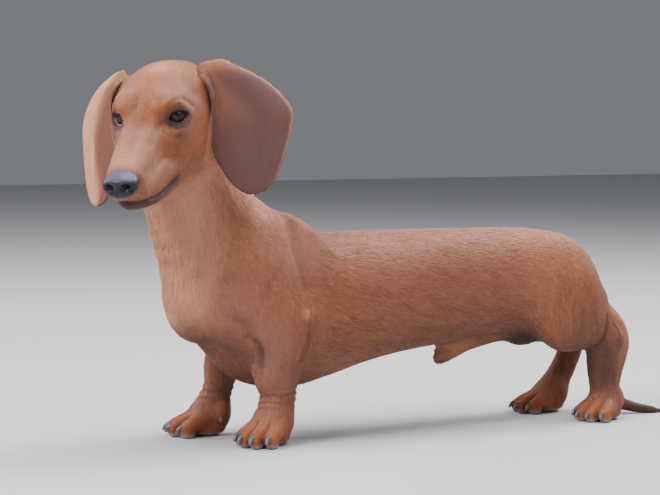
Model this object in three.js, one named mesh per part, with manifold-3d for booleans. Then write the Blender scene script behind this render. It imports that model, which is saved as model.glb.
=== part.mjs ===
// A smooth-haired dachshund standing still, life size, with its head turned to its left.
// Millimetres. The dog faces -X, its left side is towards -Y, +Z is up and the floor is z = 0.
// The body is one field of named masses that melt into each other. Each node is a loft whose
// rings are cast from a line inside the body out to that field, trimmed by thin plane cuts.

import * as THREE from "three";
import { LoftGeometry } from "three/addons/geometries/LoftGeometry.js";
import { mergeVertices } from "three/addons/utils/BufferGeometryUtils.js";
import Module from "manifold-3d";

const wasm = await Module();
wasm.setup();

const GAP = 0.3; // between neighbouring nodes
const OVERSHOOT = 12; // how far a ring may run past a cut before the cut trims it
const LEFT = -1; // sign of Y on each side
const RIGHT = 1;
const SIDES = [LEFT, RIGHT];
const sideName = (side) => (side === LEFT ? "left" : "right");
const vec = (point) => new THREE.Vector3(...point);
const degrees = THREE.MathUtils.degToRad;

// Colours of the finishes.
const coat = new THREE.MeshStandardMaterial({ color: 0x9a5838, roughness: 0.62 });
const ear = new THREE.MeshStandardMaterial({ color: 0x7c4233, roughness: 0.66 });
const nosePad = new THREE.MeshStandardMaterial({ color: 0x2e2f35, roughness: 0.38 });
const horn = new THREE.MeshStandardMaterial({ color: 0x35353b, roughness: 0.3 });
const eyeball = new THREE.MeshStandardMaterial({ color: 0x20120c, roughness: 0.06 });

// Masses of the body

// The depth of two masses together: a fillet joins them where they are nearer than the blend.
function melt(a, b, blend) {
  const near = Math.max(blend - Math.abs(a - b), 0) / blend;
  return Math.min(a, b) - (near * near * blend) / 4;
}

// The depth of the first mass with the second one hollowed out of it.
const hollow = (a, b, blend) => -melt(-a, b, blend);

// Rows with more rows between them, on a smooth curve through the given ones.
function densify(rows, steps) {
  const first = rows[0].map((value, i) => 2 * value - rows[1][i]);
  const last = rows.at(-1).map((value, i) => 2 * value - rows.at(-2)[i]);
  const padded = [first, ...rows, last];
  const out = [];
  for (let i = 1; i < padded.length - 2; i++) {
    const [p0, p1, p2, p3] = padded.slice(i - 1, i + 3);
    for (let j = 0; j < steps; j++) {
      const t = j / steps;
      out.push(
        p1.map((_, n) => {
          const slope = (p2[n] - p0[n]) * t;
          const bend = (2 * p0[n] - 5 * p1[n] + 4 * p2[n] - p3[n]) * t * t;
          const twist = (3 * p1[n] - p0[n] - 3 * p2[n] + p3[n]) * t ** 3;
          return (2 * p1[n] + slope + bend + twist) / 2;
        }),
      );
    }
  }
  out.push(rows.at(-1));
  return out;
}

// An ellipsoid. A power over 2 squares it off.
class Ball {
  constructor(centre, radii, blend, power = 2) {
    Object.assign(this, { centre, radii, blend, power });
    this.low = centre.map((value, i) => value - radii[i]);
    this.high = centre.map((value, i) => value + radii[i]);
  }

  depth(x, y, z) {
    const [a, b, c] = this.radii;
    const p = this.power;
    const u = Math.abs(x - this.centre[0]) / a;
    const v = Math.abs(y - this.centre[1]) / b;
    const w = Math.abs(z - this.centre[2]) / c;
    const size = (u ** p + v ** p + w ** p) ** (1 / p) + 1e-9;
    const slope = Math.hypot(u ** (p - 1) / a, v ** (p - 1) / b, w ** (p - 1) / c);
    return (size - 1) / (slope / size ** (p - 1) + 1e-9);
  }
}

// A limb of oval sections along a line: rows of x, y, z, half width and half depth.
class Limb {
  constructor(rows, blend, { cap = 1, smooth = true } = {}) {
    this.rows = smooth && rows.length > 2 ? densify(rows, 4) : rows;
    Object.assign(this, { blend, cap });
    const widest = (row) => Math.max(row[3], row[4]);
    this.low = [0, 1, 2].map((i) => Math.min(...this.rows.map((row) => row[i] - widest(row))));
    this.high = [0, 1, 2].map((i) => Math.max(...this.rows.map((row) => row[i] + widest(row))));
    this.spans = this.rows.slice(1).map((end, i) => {
      const start = this.rows[i];
      const along = vec(end.slice(0, 3)).sub(vec(start.slice(0, 3)));
      const length = along.length();
      const axis = along.clone().normalize();
      const across = new THREE.Vector3(0, 1, 0).addScaledVector(axis, -axis.y).normalize();
      const other = axis.clone().cross(across);
      return { start, end, length, axis, across, other };
    });
  }

  depth(x, y, z) {
    let nearest = Infinity;
    let found = 0;
    for (const { start, end, length, axis, across, other } of this.spans) {
      const dx = x - start[0];
      const dy = y - start[1];
      const dz = z - start[2];
      const run = dx * axis.x + dy * axis.y + dz * axis.z;
      const t = Math.min(Math.max(run / length, 0), 1);
      const qx = dx - t * length * axis.x;
      const qy = dy - t * length * axis.y;
      const qz = dz - t * length * axis.z;
      const wide = start[3] + t * (end[3] - start[3]);
      const deep = start[4] + t * (end[4] - start[4]);
      const small = Math.min(wide, deep);
      const away = Math.hypot(qx, qy, qz) - small;
      if (away >= nearest) continue;
      nearest = away;
      const u = qx * across.x + qy * across.y + qz * across.z;
      const v = qx * other.x + qy * other.y + qz * other.z;
      const w = qx * axis.x + qy * axis.y + qz * axis.z;
      const end3 = small * this.cap;
      const size = Math.hypot(u / wide, v / deep, w / end3) + 1e-9;
      const slope = Math.hypot(u / wide ** 2, v / deep ** 2, w / end3 ** 2) + 1e-9;
      found = size < 0.05 ? -small : (size * (size - 1)) / slope;
    }
    return found;
  }
}

// The barrel of the body: rows of x, top, bottom and half width, with squared-off sections.
class Barrel {
  constructor(rows, blend, power, frontRound, rearRound) {
    this.rows = densify(rows, 6);
    Object.assign(this, { blend, power, frontRound, rearRound });
    const column = (i) => this.rows.map((row) => row[i]);
    const wide = Math.max(...column(3));
    this.low = [this.rows[0][0] - frontRound, -wide, Math.min(...column(2))];
    this.high = [this.rows.at(-1)[0] + rearRound, wide, Math.max(...column(1))];
  }

  depth(x, y, z) {
    const rows = this.rows;
    const inside = Math.min(Math.max(x, rows[0][0]), rows.at(-1)[0]);
    let i = 0;
    while (i < rows.length - 2 && rows[i + 1][0] < inside) i++;
    const t = (inside - rows[i][0]) / (rows[i + 1][0] - rows[i][0]);
    const [, top, bottom, half] = rows[i].map((value, n) => value + t * (rows[i + 1][n] - value));
    const tall = (top - bottom) / 2;
    const u = Math.abs(y) / half;
    const v = Math.abs(z - (top + bottom) / 2) / tall;
    const past = Math.abs(x - inside) / (x < inside ? this.frontRound : this.rearRound);
    const section = (u ** this.power + v ** this.power) ** (1 / this.power);
    return (Math.hypot(section, past) - 1) * Math.min(half, tall, 60) * 0.9;
  }
}

// A mass in a turned frame.
class Placed {
  constructor(mass, frame) {
    this.mass = mass;
    this.blend = mass.blend;
    this.inverse = frame.clone().invert();
    const corners = new THREE.Box3(vec(mass.low), vec(mass.high)).applyMatrix4(frame);
    this.low = corners.min.toArray();
    this.high = corners.max.toArray();
  }

  depth(x, y, z) {
    const e = this.inverse.elements;
    return this.mass.depth(
      e[0] * x + e[4] * y + e[8] * z + e[12],
      e[1] * x + e[5] * y + e[9] * z + e[13],
      e[2] * x + e[6] * y + e[10] * z + e[14],
    );
  }
}

// The depth of a point under the melted masses of a list, negative inside.
const FAR = 60;
const REACH = 30; // a mass is left out where the point is this far outside its box
function depthOf(masses, x, y, z) {
  let depth = FAR;
  for (const mass of masses) {
    const { low, high } = mass;
    if (x < low[0] - REACH || y < low[1] - REACH || z < low[2] - REACH) continue;
    if (x > high[0] + REACH || y > high[1] + REACH || z > high[2] + REACH) continue;
    depth = melt(depth, mass.depth(x, y, z), mass.blend);
  }
  return depth;
}

// Frames

// The head's frame: x along the bridge of the nose, y to the head's left, z up, from mid-eye.
const head = { at: [-117, -54, 294.5], yaw: 47.5, pitch: 26, roll: 2 };
const headFrame = (() => {
  const [yaw, pitch, roll] = [head.yaw, head.pitch, head.roll].map(degrees);
  const x = vec([
    -Math.cos(yaw) * Math.cos(pitch),
    -Math.sin(yaw) * Math.cos(pitch),
    -Math.sin(pitch),
  ]);
  const level = vec([Math.sin(yaw), -Math.cos(yaw), 0]);
  const y = level.clone().multiplyScalar(Math.cos(roll));
  y.addScaledVector(x.clone().cross(level), Math.sin(roll));
  return new THREE.Matrix4().makeBasis(x, y, x.clone().cross(y)).setPosition(...head.at);
})();
const inHead = (point) => vec(point).applyMatrix4(headFrame);

// An eye's frame: x out along its axis, z up along the opening, from the middle of the ball.
const eye = { forward: -7, side: 23, up: -1.5, radius: 10, splay: 35, lift: 0.1 };
const headSide = (side) => -side; // the head's y is towards its left
function eyeFrame(side) {
  const splay = degrees(eye.splay);
  const out = vec([Math.cos(splay), headSide(side) * Math.sin(splay), eye.lift]).normalize();
  const across = new THREE.Vector3(0, 0, 1).cross(out).normalize();
  const frame = new THREE.Matrix4().makeBasis(out, across, out.clone().cross(across));
  frame.setPosition(eye.forward, headSide(side) * eye.side, eye.up);
  return frame.premultiply(headFrame);
}

// A paw's frame: x towards its toes, z up, from the floor under its middle.
const paws = [
  { name: "front_left", limb: "fore", side: LEFT, at: [-1, -43.5], heading: 27, size: 1 },
  { name: "front_right", limb: "fore", side: RIGHT, at: [-31, 42], heading: 13, size: 1 },
  { name: "hind_left", limb: "hind", side: LEFT, at: [358, -38], heading: 18, size: 0.94 },
  { name: "hind_right", limb: "hind", side: RIGHT, at: [335, 37], heading: 8, size: 0.94 },
];
function pawFrame({ at, heading, side, size }) {
  const turn = degrees(heading);
  const x = vec([-Math.cos(turn), side * Math.sin(turn), 0]);
  const y = vec([-x.y, x.x, 0]);
  const frame = new THREE.Matrix4().makeBasis(x, y, vec([0, 0, 1])).setPosition(at[0], at[1], 0);
  return frame.scale(vec([size, size, size]));
}

// Anatomy

const trunkRows = [
  // x, back, underline, half width
  [-48, 150, 95, 38],
  [-34, 168, 76, 46],
  [-14, 180, 57, 53],
  [10, 187, 48, 56],
  [40, 191, 46, 58],
  [75, 188, 54, 59],
  [110, 188.5, 64, 58],
  [150, 188.5, 72, 55],
  [195, 188.5, 77.5, 50],
  [240, 188, 83, 46],
  [280, 187.5, 85, 46],
  [303, 185, 86, 45.5],
  [324, 176, 91, 42],
  [339, 162, 99, 35],
];
const neckRows = [
  [10, 0, 138, 54, 54],
  [-22, 0, 168, 50, 60],
  [-50, 0, 213, 43, 46],
  [-65, 1, 252, 38, 42],
  [-71, 5, 288, 34, 38],
];
const tailRows = [
  [340, 0, 146, 14, 14],
  [362, 0, 122, 13.5, 13.5],
  [383, 0, 101, 12, 12.5],
  [399, 0, 86, 11, 11],
  [405, 0, 71, 10.2, 10.2],
  [402, -1, 56, 9.6, 9.6],
  [397, -2, 41, 8.8, 8.8],
  [394, -4, 26, 7.8, 7.8],
  [399, -8, 12, 6.6, 6.6],
  [413, -14, 6, 5.4, 5.4],
  [428, -20, 3.4, 4, 4],
  [439, -24.5, 1.6, 2, 2],
];

// The foreleg below the elbow: heights with half width and half depth, and how each leg leans.
const foreleg = {
  heights: [108, 88, 66, 47, 34, 22],
  halfWidth: [20, 18, 15, 13.5, 14, 15],
  halfDepth: { [LEFT]: [25, 24.5, 23, 18.5, 17.5, 17], [RIGHT]: [25, 22, 18.5, 15, 15, 15.5] },
  leanX: { [LEFT]: [17, 12.5, 9.5, 11.5, 9.5, 6], [RIGHT]: [13, 5, -5, -9, -14, -20] },
  leanY: [46, 45.5, 43.5, 42.5, 42, 42],
};
// The hind pastern from the hock to the foot.
const pastern = {
  heights: [78, 64, 50, 34, 20],
  halfWidth: [9, 10.5, 10.5, 11, 12.5],
  halfDepth: { [LEFT]: [11, 18.5, 17.5, 15, 14], [RIGHT]: [11, 12.5, 13, 13.5, 14] },
  leanX: { [LEFT]: [373, 363.5, 362, 362.5, 363], [RIGHT]: [376, 372, 366, 357, 348] },
  leanY: [36, 36, 36.3, 36.5, 37],
};
const column = ({ heights, halfWidth, halfDepth, leanX, leanY }, side) =>
  heights.map((z, i) => [leanX[side][i], side * leanY[i], z, halfWidth[i], halfDepth[side][i]]);

function forequarter(side) {
  const shoulderBlade = [
    [40, side * 30, 180, 14, 30],
    [5, side * 41, 152, 17, 34],
    [-31, side * 42, 120, 17, 24],
  ];
  const upperArm = [
    [-31, side * 42, 120, 18, 24],
    [4, side * 47, 108, 20, 28],
    [30, side * 46, 106, 19, 26],
  ];
  const elbow = [
    [34, side * 45, 112, 9, 16],
    [38, side * 47, 104, 8, 13],
  ];
  return [
    new Limb(shoulderBlade, 22),
    new Limb(upperArm, 18),
    new Limb(elbow, 12),
    new Limb(column(foreleg, side), 8),
    dewclawToe(side),
  ];
}

const dewclaw = { behind: 1, inside: 15.5, up: 23 };
const dewclawAt = (side) => [
  foreleg.leanX[side][4] + dewclaw.behind,
  side * (foreleg.leanY[4] - dewclaw.inside),
  dewclaw.up,
];
const dewclawToe = (side) => new Ball(dewclawAt(side), [5.5, 5, 7], 4);

function hindquarter(side) {
  const thigh = [
    [322, side * 30, 126, 24, 36],
    [318, side * 38, 104, 20, 31],
    [312, side * 42, 90, 15, 21],
  ];
  const shank = [
    [312, side * 42, 90, 14.5, 18.5],
    [338, side * 40, 86, 13.5, 17],
    [360, side * 37, 79, 11, 13.5],
    [374, side * 36, 75, 8.5, 10],
  ];
  const hamstring = [
    [346, side * 36, 104, 14, 24],
    [367, side * 36, 82, 8, 12],
  ];
  return [
    new Ball([316, side * 27, 130], [40, 29, 48], 22),
    new Limb(thigh, 20),
    new Limb(shank, 14),
    new Limb(hamstring, 16),
    new Limb(column(pastern, side), 10),
  ];
}

const sheathRows = [
  [264, 0, 86, 8, 8],
  [232, 0, 79, 9, 9],
  [210, 0, 70, 9, 9],
  [200, 0, 64, 6, 6.5],
];
const sheath = new Limb(sheathRows, 14);

// Four arched toes: how far each reaches forward, how far it stands to the side, how it spreads.
const toes = [
  { offset: -15.5, reach: 14, spread: -0.22 },
  { offset: -5.8, reach: 22.5, spread: -0.05 },
  { offset: 5.8, reach: 22.5, spread: 0.05 },
  { offset: 15.5, reach: 14, spread: 0.22 },
];
const toeTip = ({ offset, reach, spread }) => [reach, offset + 8 * spread, 7.8];
function pawMasses() {
  const instep = [
    [-16, 0, 20, 15, 16],
    [-3, 0, 15, 18, 13],
    [8, 0, 11, 17, 9.5],
  ];
  const masses = [new Limb(instep, 10)];
  for (const toe of toes) {
    const [tipX, tipY, tipZ] = toeTip(toe);
    const arch = [
      [-2, toe.offset * 0.7, 15.5, 7.5, 7],
      [toe.reach - 8, toe.offset * 0.95 + 4 * toe.spread, 12.6, 6.4, 6.6],
      [tipX, tipY, tipZ, 5.8, 6.6],
    ];
    masses.push(new Limb(arch, 5), new Ball([tipX - 2, tipY, 3.6], [7.5, 5.6, 5], 3));
  }
  masses.push(new Ball([-9, 0, 6], [16, 15.5, 7], 6));
  return masses;
}

function headMasses() {
  const muzzle = [
    [-14, 0, -20, 26, 32],
    [8, 0, -21, 23.5, 28],
    [28, 0, -22, 20.5, 23.5],
    [50, 0, -22.8, 18.3, 18.4],
    [70, 0, -24.5, 17, 14.3],
    [79, 0, -25.4, 15.6, 12.4],
  ];
  const jaw = [
    [-40, 0, -58, 28, 20],
    [-8, 0, -58, 23, 16],
    [30, 0, -53, 17, 12],
    [58, 0, -49, 12.5, 9],
    [73, 0, -45, 9.5, 6.5],
  ];
  const masses = [
    new Ball([-46, 0, -6], [46, 39.5, 30.5], 14, 2.3), // braincase
    new Ball([-13, 0, 2], [29, 27, 21.5], 16), // forehead
    new Limb(muzzle, 12, { cap: 0.6 }),
    new Limb(jaw, 9),
  ];
  for (const side of SIDES) {
    const cheekbone = [
      [12, side * 20, -15, 7, 8],
      [-12, side * 30, -12, 7, 9],
      [-40, side * 33, -6, 8, 10],
    ];
    const bridgeEdge = [
      [10, side * 11.5, -1.5, 6, 6.5],
      [38, side * 11.5, -9.5, 6, 6],
      [60, side * 11, -15.8, 5.5, 5.5],
      [74, side * 9.8, -19, 5, 5],
    ];
    const flews = [
      [69, side * 9, -33, 9, 9.5],
      [45, side * 13.5, -37.5, 9, 11],
      [22, side * 17.5, -40, 9.5, 10.5],
      [5, side * 20.5, -43, 9, 9.5],
    ];
    const lowerLip = [
      [16, side * 19.5, -53.5, 5.5, 6],
      [34, side * 17, -54, 5, 5.5],
      [50, side * 14, -52, 4.5, 5],
      [66, side * 10, -48.5, 4, 4],
    ];
    masses.push(
      new Ball([-6, side * 18.8, 10], [20, 13, 9.5], 10), // brow
      new Ball([-32, side * 25, -32], [32, 15, 34], 16), // cheek
      new Limb(cheekbone, 12),
      new Ball([-12, side * 24, -27], [24, 10.5, 20], 14), // below the eye
      new Limb(bridgeEdge, 8),
      new Limb(flews, 8),
      new Limb(lowerLip, 6),
    );
  }
  masses.push(new Ball([-50, 0, -54], [36, 30, 29], 18)); // throat
  return masses.map((mass) => new Placed(mass, headFrame));
}

const bodyMasses = [
  new Barrel(trunkRows, 20, 2.25, 22, 12),
  new Limb(neckRows, 26),
  new Ball([-48, 0, 124], [24, 24, 28], 22), // prow of the breastbone
  ...SIDES.flatMap((side) => [...forequarter(side), ...hindquarter(side)]),
  sheath,
  new Ball([292, 0, 86], [20, 15, 14.5], 12),
  new Limb(tailRows, 10),
  ...paws.flatMap((paw) => pawMasses().map((mass) => new Placed(mass, pawFrame(paw)))),
];
const bareMasses = bodyMasses.filter((mass) => mass !== sheath);
const headParts = headMasses();
// The hollow beside the stop, in front of each eye, and the lids' bulge over the ball.
const stopHollows = SIDES.map(
  (side) => new Placed(new Ball([11, headSide(side) * 28, 3], [10, 6.5, 7.5], 9), headFrame),
);
const lids = SIDES.map((side) => new Placed(new Ball([1, 0, 0], [10.4, 11.4, 10], 7), eyeFrame(side)));
const HEAD_FLOOR = 170; // no mass of the head reaches down to here
const HEAD_BLEND = 16;

// The whole dog's field.
function flesh(x, y, z, masses = bodyMasses) {
  const body = depthOf(masses, x, y, z);
  if (z < HEAD_FLOOR) return body;
  let skull = depthOf(headParts, x, y, z);
  for (const pit of stopHollows) skull = hollow(skull, pit.depth(x, y, z), pit.blend);
  let depth = melt(body, skull, HEAD_BLEND);
  for (const lid of lids) depth = melt(depth, lid.depth(x, y, z), lid.blend);
  return depth;
}

// Solids and cuts

// A closed geometry as a manifold-3d solid.
function solidOf(geometry) {
  const plain = geometry.index ? geometry.toNonIndexed() : geometry.clone();
  plain.deleteAttribute("normal");
  plain.deleteAttribute("uv");
  const merged = mergeVertices(plain, 1e-4);
  return new wasm.Manifold(
    new wasm.Mesh({
      numProp: 3,
      vertProperties: merged.attributes.position.array,
      triVerts: new Uint32Array(merged.index.array),
    }),
  );
}

// The solid's largest closed body.
function largest(solid) {
  const bodies = solid.decompose();
  return bodies.reduce((best, body) => (body.volume() > best.volume() ? body : best), bodies[0]);
}

// A region bounded by planes: inside where every normal . point is over its offset.
const plane = (normal, through) => {
  const n = vec(normal).normalize();
  return { n, c: n.dot(vec(through)) };
};
class Zone {
  constructor(...planes) {
    this.planes = planes;
  }

  // Negative inside the region.
  depth(x, y, z) {
    return Math.max(...this.planes.map(({ n, c }) => c - n.x * x - n.y * y - n.z * z));
  }

  // The region as a solid, with every plane moved inwards by the inset.
  solid(inset) {
    const size = 1400;
    const halves = this.planes.map(({ n, c }) => {
      const block = new THREE.BoxGeometry(size, size, size).translate(0, 0, size / 2 + c + inset);
      const turn = new THREE.Quaternion().setFromUnitVectors(new THREE.Vector3(0, 0, 1), n);
      return solidOf(block.applyQuaternion(turn));
    });
    return halves.reduce((all, half) => all.intersect(half));
  }
}
const facing = ({ n, c }) => ({ n: n.clone().negate(), c: -c });

// Where the neck leaves the trunk, and the head the neck.
const neckRoot = plane([-0.455, 0, 0.89], [14, 0, 196]);
const poll = {
  behindSkull: inHead([-94, 0, -12]),
  normal: vec([0.698, 0, 0.716]).transformDirection(headFrame),
};
const headCut = plane(poll.normal.toArray(), poll.behindSkull.toArray());
const floor = plane([0, 0, 1], [0, 0, 0]);
const forefootTop = 24;
const hindfootTop = 22;
const above = (z) => plane([0, 0, 1], [0, 0, z]);
const below = (z) => plane([0, 0, -1], [0, 0, z]);
const ahead = (x) => plane([-1, 0, 0], [x, 0, 0]);
const behind = (x) => plane([1, 0, 0], [x, 0, 0]);

// A foreleg leaves the chest at a slope from beside the keel up to outside the upper arm.
const forelegSpan = { [LEFT]: [-14, 54], [RIGHT]: [-28, 50] };
const forelegRegion = (side) => [
  plane([0, side * 0.889, -0.458], [0, side * 27, 48]),
  below(106),
  behind(forelegSpan[side][0]),
  ahead(forelegSpan[side][1]),
];
// A thigh leaves the loin at a slope from the groin up to the hip, and the leg leaves it
// across the second thigh.
const secondThigh = plane([0.59, 0, -0.81], [335, 0, 66]);
const thighSide = (side) => plane([0, side * 0.9, -0.435], [0, side * 14, 87]);
const thighRegion = (side) => [thighSide(side), below(168), plane([1, 0, 0.15], [284, 0, 100])];
const tailRoot = plane([1, 0, -1], [356, 0, 131]);
const tailSides = [
  plane([0, 1, 0], [0, -18, 0]),
  plane([0, -1, 0], [0, 18, 0]),
  plane([1, 0, 1], [343, 0, 118]),
];
const tailCuts = [plane([0.73, 0, -0.68], [391, 0, 93.5]), plane([0, 0, -1], [0, 0, 36])];

// The distance from a point inside out to where the depth turns positive.
function reachOut(from, direction, depth) {
  const at = (t) =>
    depth(from.x + t * direction.x, from.y + t * direction.y, from.z + t * direction.z);
  let inner = 0;
  let outer = 0;
  for (let value = at(0); value < 0 && outer < 400; value = at(outer)) {
    inner = outer;
    outer += Math.max(-value * 0.6, 0.7);
  }
  for (let i = 0; i < 16; i++) {
    const middle = (inner + outer) / 2;
    if (at(middle) < 0) inner = middle;
    else outer = middle;
  }
  return inner;
}

// How far along a loft its rings stand: even, or closing up towards a rounded end.
function stations(count, roundStart, roundEnd) {
  return Array.from({ length: count }, (_, i) => {
    const s = i / (count - 1);
    if (roundStart && roundEnd) return (1 - Math.cos(Math.PI * s)) / 2;
    if (roundStart) return 1 - Math.cos((Math.PI * s) / 2);
    if (roundEnd) return Math.sin((Math.PI * s) / 2);
    return s;
  });
}

// A loft of the flesh round a line: rings square to it, cast out to the field or to the zone.
// A round end runs to the skin along the line, and its last ring is nearly a point.
function castLoft(loft) {
  const { line, rings, around, ends, stop, side = [0, 1, 0] } = loft;
  const { grow = 0, crowd, widest = 400, masses = bodyMasses } = loft;
  const depth = (x, y, z) => Math.max(flesh(x, y, z, masses) - grow, stop(x, y, z) - OVERSHOOT);
  const points = line.map(vec);
  const tipOut = (end, next) => {
    const out = end.clone().sub(next).normalize();
    return end.clone().addScaledVector(out, 0.985 * reachOut(end, out, depth));
  };
  if (ends[0] === "round") points.unshift(tipOut(points[0], points[1]));
  if (ends[1] === "round") points.push(tipOut(points.at(-1), points.at(-2)));
  const spine = new THREE.CatmullRomCurve3(points, false, "centripetal");
  const steps = crowd ?? stations(rings, ends[0] === "round", ends[1] === "round");
  const sections = steps.map((s) => {
    const centre = spine.getPointAt(s);
    const along = spine.getTangentAt(s);
    const v = vec(side).addScaledVector(along, -vec(side).dot(along)).normalize();
    const u = v.clone().cross(along);
    return Array.from({ length: around }, (_, k) => {
      const angle = (2 * Math.PI * k) / around;
      const out = u.clone().multiplyScalar(Math.cos(angle)).addScaledVector(v, Math.sin(angle));
      const reach = Math.min(Math.max(reachOut(centre, out, depth), 0.25), widest);
      return centre.clone().addScaledVector(out, reach);
    });
  });
  return solidOf(new LoftGeometry(sections, { capStart: true, capEnd: true }));
}

// A node of flesh inside a region of its own.
function fleshIn(region, loft) {
  const zone = new Zone(...region);
  const stop = (x, y, z) => zone.depth(x, y, z);
  return castLoft({ ...loft, stop }).intersect(zone.solid(GAP / 2));
}

// Trunk, neck, legs and tail

function torso() {
  const taken = [
    new Zone(neckRoot),
    ...SIDES.map((side) => new Zone(...forelegRegion(side))),
    ...SIDES.map((side) => new Zone(...thighRegion(side))),
    new Zone(tailRoot, ...tailSides),
  ];
  const stop = (x, y, z) => Math.max(...taken.map((zone) => -zone.depth(x, y, z)));
  const line = [
    [-58, 0, 118],
    [0, 0, 116],
    [90, 0, 124],
    [220, 0, 134],
    [325, 0, 136],
  ];
  const ends = ["round", "round"];
  const barrel = castLoft({ line, rings: 34, around: 34, ends, stop, masses: bareMasses });
  const whole = barrel.add(sheathSolid());
  return taken.reduce((solid, zone) => solid.subtract(zone.solid(-GAP / 2)), whole);
}
// The sheath under the belly, which stands out of the barrel it is part of.
function sheathSolid() {
  const line = sheathRows.map(([x, y, z], i) => [x, y, z + (i < 2 ? 3 : 1)]);
  const ends = ["cut", "round"];
  return castLoft({ line, rings: 9, around: 12, ends, stop: () => -FAR, widest: 12 });
}

function neck() {
  const line = [
    [-24, 0, 170],
    [-40, 2, 205],
    [-50, 5, 240],
    [-56, 6, 264],
    [-63, 1, 280],
    [-70, -8, 288],
  ];
  return fleshIn([neckRoot, facing(headCut)], { line, rings: 11, around: 26, ends: ["cut", "cut"] });
}

function forelegNode(side) {
  const [, elbowX, midX, wristX, pasternX, footX] = foreleg.leanX[side];
  const line = [
    [footX, side * 42, forefootTop - 3],
    [pasternX, side * 42, 34],
    [wristX, side * 43, 47],
    [midX, side * 47, 66],
    [elbowX, side * 54, 85],
    [foreleg.leanX[side][0], side * 60, 109],
  ];
  const region = [...forelegRegion(side), above(forefootTop)];
  return fleshIn(region, { line, rings: 13, around: 18, ends: ["cut", "cut"], widest: 46 });
}

function thighNode(side) {
  const line = [
    [320, side * 50, 171],
    [322, side * 46, 142],
    [322, side * 42, 115],
    [320, side * 39, 95],
  ];
  const region = [...thighRegion(side), facing(secondThigh)];
  return fleshIn(region, { line, rings: 12, around: 20, ends: ["cut", "round"] });
}

function hindLegNode(side) {
  const [, hockX, midX, lowX, footX] = pastern.leanX[side];
  const line = [
    [336, side * 39, 76],
    [351, side * 38, 78],
    [363, side * 37, 73],
    [hockX - 1, side * 36.5, 61],
    [midX + 1, side * 36.5, 48],
    [lowX, side * 36.5, 34],
    [footX, side * 37, hindfootTop - 3],
  ];
  const region = [secondThigh, behind(318), above(hindfootTop), thighSide(side)];
  return fleshIn(region, { line, rings: 14, around: 15, ends: ["cut", "cut"], widest: 30 });
}

function pawNode(paw) {
  const frame = pawFrame(paw);
  const top = paw.limb === "fore" ? forefootTop : hindfootTop;
  const line = [
    [-12, 0, 8],
    [0, 0, 8],
    [18, 0, 7],
  ].map((point) => vec(point).applyMatrix4(frame).toArray());
  const across = new THREE.Vector3(0, 1, 0).transformDirection(frame).toArray();
  const loft = { line, rings: 12, around: 20, ends: ["round", "round"], side: across };
  let solid = fleshIn([below(top), above(-3)], loft);
  solid = solid.subtract(new Zone(facing(floor)).solid(0));
  for (const toe of toes) solid = solid.subtract(clawSolid(paw, toe, GAP));
  if (paw.limb === "fore") solid = solid.subtract(dewclawSolid(paw.side, GAP));
  return solid;
}

function tailNodes() {
  const rows = tailRows.map((row) => row.slice(0, 3));
  const base = fleshIn([tailRoot, ...tailSides, facing(tailCuts[0])], {
    line: [[350, 0, 136], rows[1], rows[2], [395, 0, 90]],
    rings: 7,
    around: 14,
    ends: ["cut", "cut"],
  });
  const middle = fleshIn([tailCuts[0], facing(tailCuts[1])], {
    line: [[387, 0, 97.5], ...rows.slice(3, 7), [395, -3, 32]],
    rings: 8,
    around: 13,
    ends: ["cut", "cut"],
  });
  const tip = fleshIn([tailCuts[1], behind(380)], {
    line: [[396, -2.5, 39], ...rows.slice(7, 11)],
    rings: 12,
    around: 12,
    ends: ["cut", "round"],
  }).subtract(new Zone(facing(floor)).solid(0));
  return { tail_base: base, tail_middle: middle, tail_tip: tip };
}

// Claws

// A curved, tapered claw between three points of a frame.
function clawHorn([root, bend, tip], radius, grow, frame) {
  const curve = new THREE.QuadraticBezierCurve3(vec(root), vec(bend), vec(tip));
  const rings = 4;
  const around = 6;
  const sections = Array.from({ length: rings }, (_, i) => {
    const s = i / (rings - 1);
    const centre = curve.getPoint(s);
    const along = curve.getTangent(s);
    const v = vec([0, 1, 0]).addScaledVector(along, -along.y).normalize();
    const u = v.clone().cross(along);
    const width = radius * (1 - 0.66 * s) + grow;
    return Array.from({ length: around }, (_, k) => {
      const angle = (2 * Math.PI * k) / around;
      const point = centre.clone().addScaledVector(u, 1.15 * width * Math.cos(angle));
      return point.addScaledVector(v, width * Math.sin(angle)).applyMatrix4(frame);
    });
  });
  return solidOf(new LoftGeometry(sections, { capStart: true, capEnd: true }));
}

function clawSolid(paw, toe, grow = 0) {
  const [x, y, z] = toeTip(toe);
  const away = toe.spread * 6;
  const points = [
    [x + 1 - grow, y, z + 2.2],
    [x + 6.5, y + away / 2, z + 2.3],
    [x + 9, y + away, z - 3.4],
  ];
  return clawHorn(points, 3.2, grow, pawFrame(paw));
}

function dewclawSolid(side, grow = 0) {
  const [x, y, z] = dewclawAt(side);
  const points = [
    [x - 1, y - side * 2, z - 3 + grow],
    [x - 4, y - side * 5.5, z - 6.5],
    [x - 3.5, y - side * 5, z - 9.5],
  ];
  return clawHorn(points, 2, grow, new THREE.Matrix4());
}

// Head

const lipLine = [
  // along the bridge, up
  [100, -36],
  [84, -39.3],
  [69, -44],
  [56, -47.6],
  [44, -48.8],
  [30, -48.8],
  [20, -47.5],
  [4, -58.5],
];
// Everything under the line of the mouth, and under the cheek behind its corner, moved down.
function underLips(drop) {
  const outline = new THREE.Shape();
  lipLine.forEach(([x, z], i) => (i ? outline.lineTo(x, z - drop) : outline.moveTo(x, z - drop)));
  outline.lineTo(-70, -59.5 - drop);
  outline.lineTo(-70, -140);
  outline.lineTo(100, -140);
  const width = 120;
  const frame = new THREE.Matrix4().makeBasis(vec([1, 0, 0]), vec([0, 0, 1]), vec([0, -1, 0]));
  frame.setPosition(0, width / 2, 0).premultiply(headFrame);
  const block = new THREE.ExtrudeGeometry(outline, { depth: width, bevelEnabled: false });
  return solidOf(block.applyMatrix4(frame));
}

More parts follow.
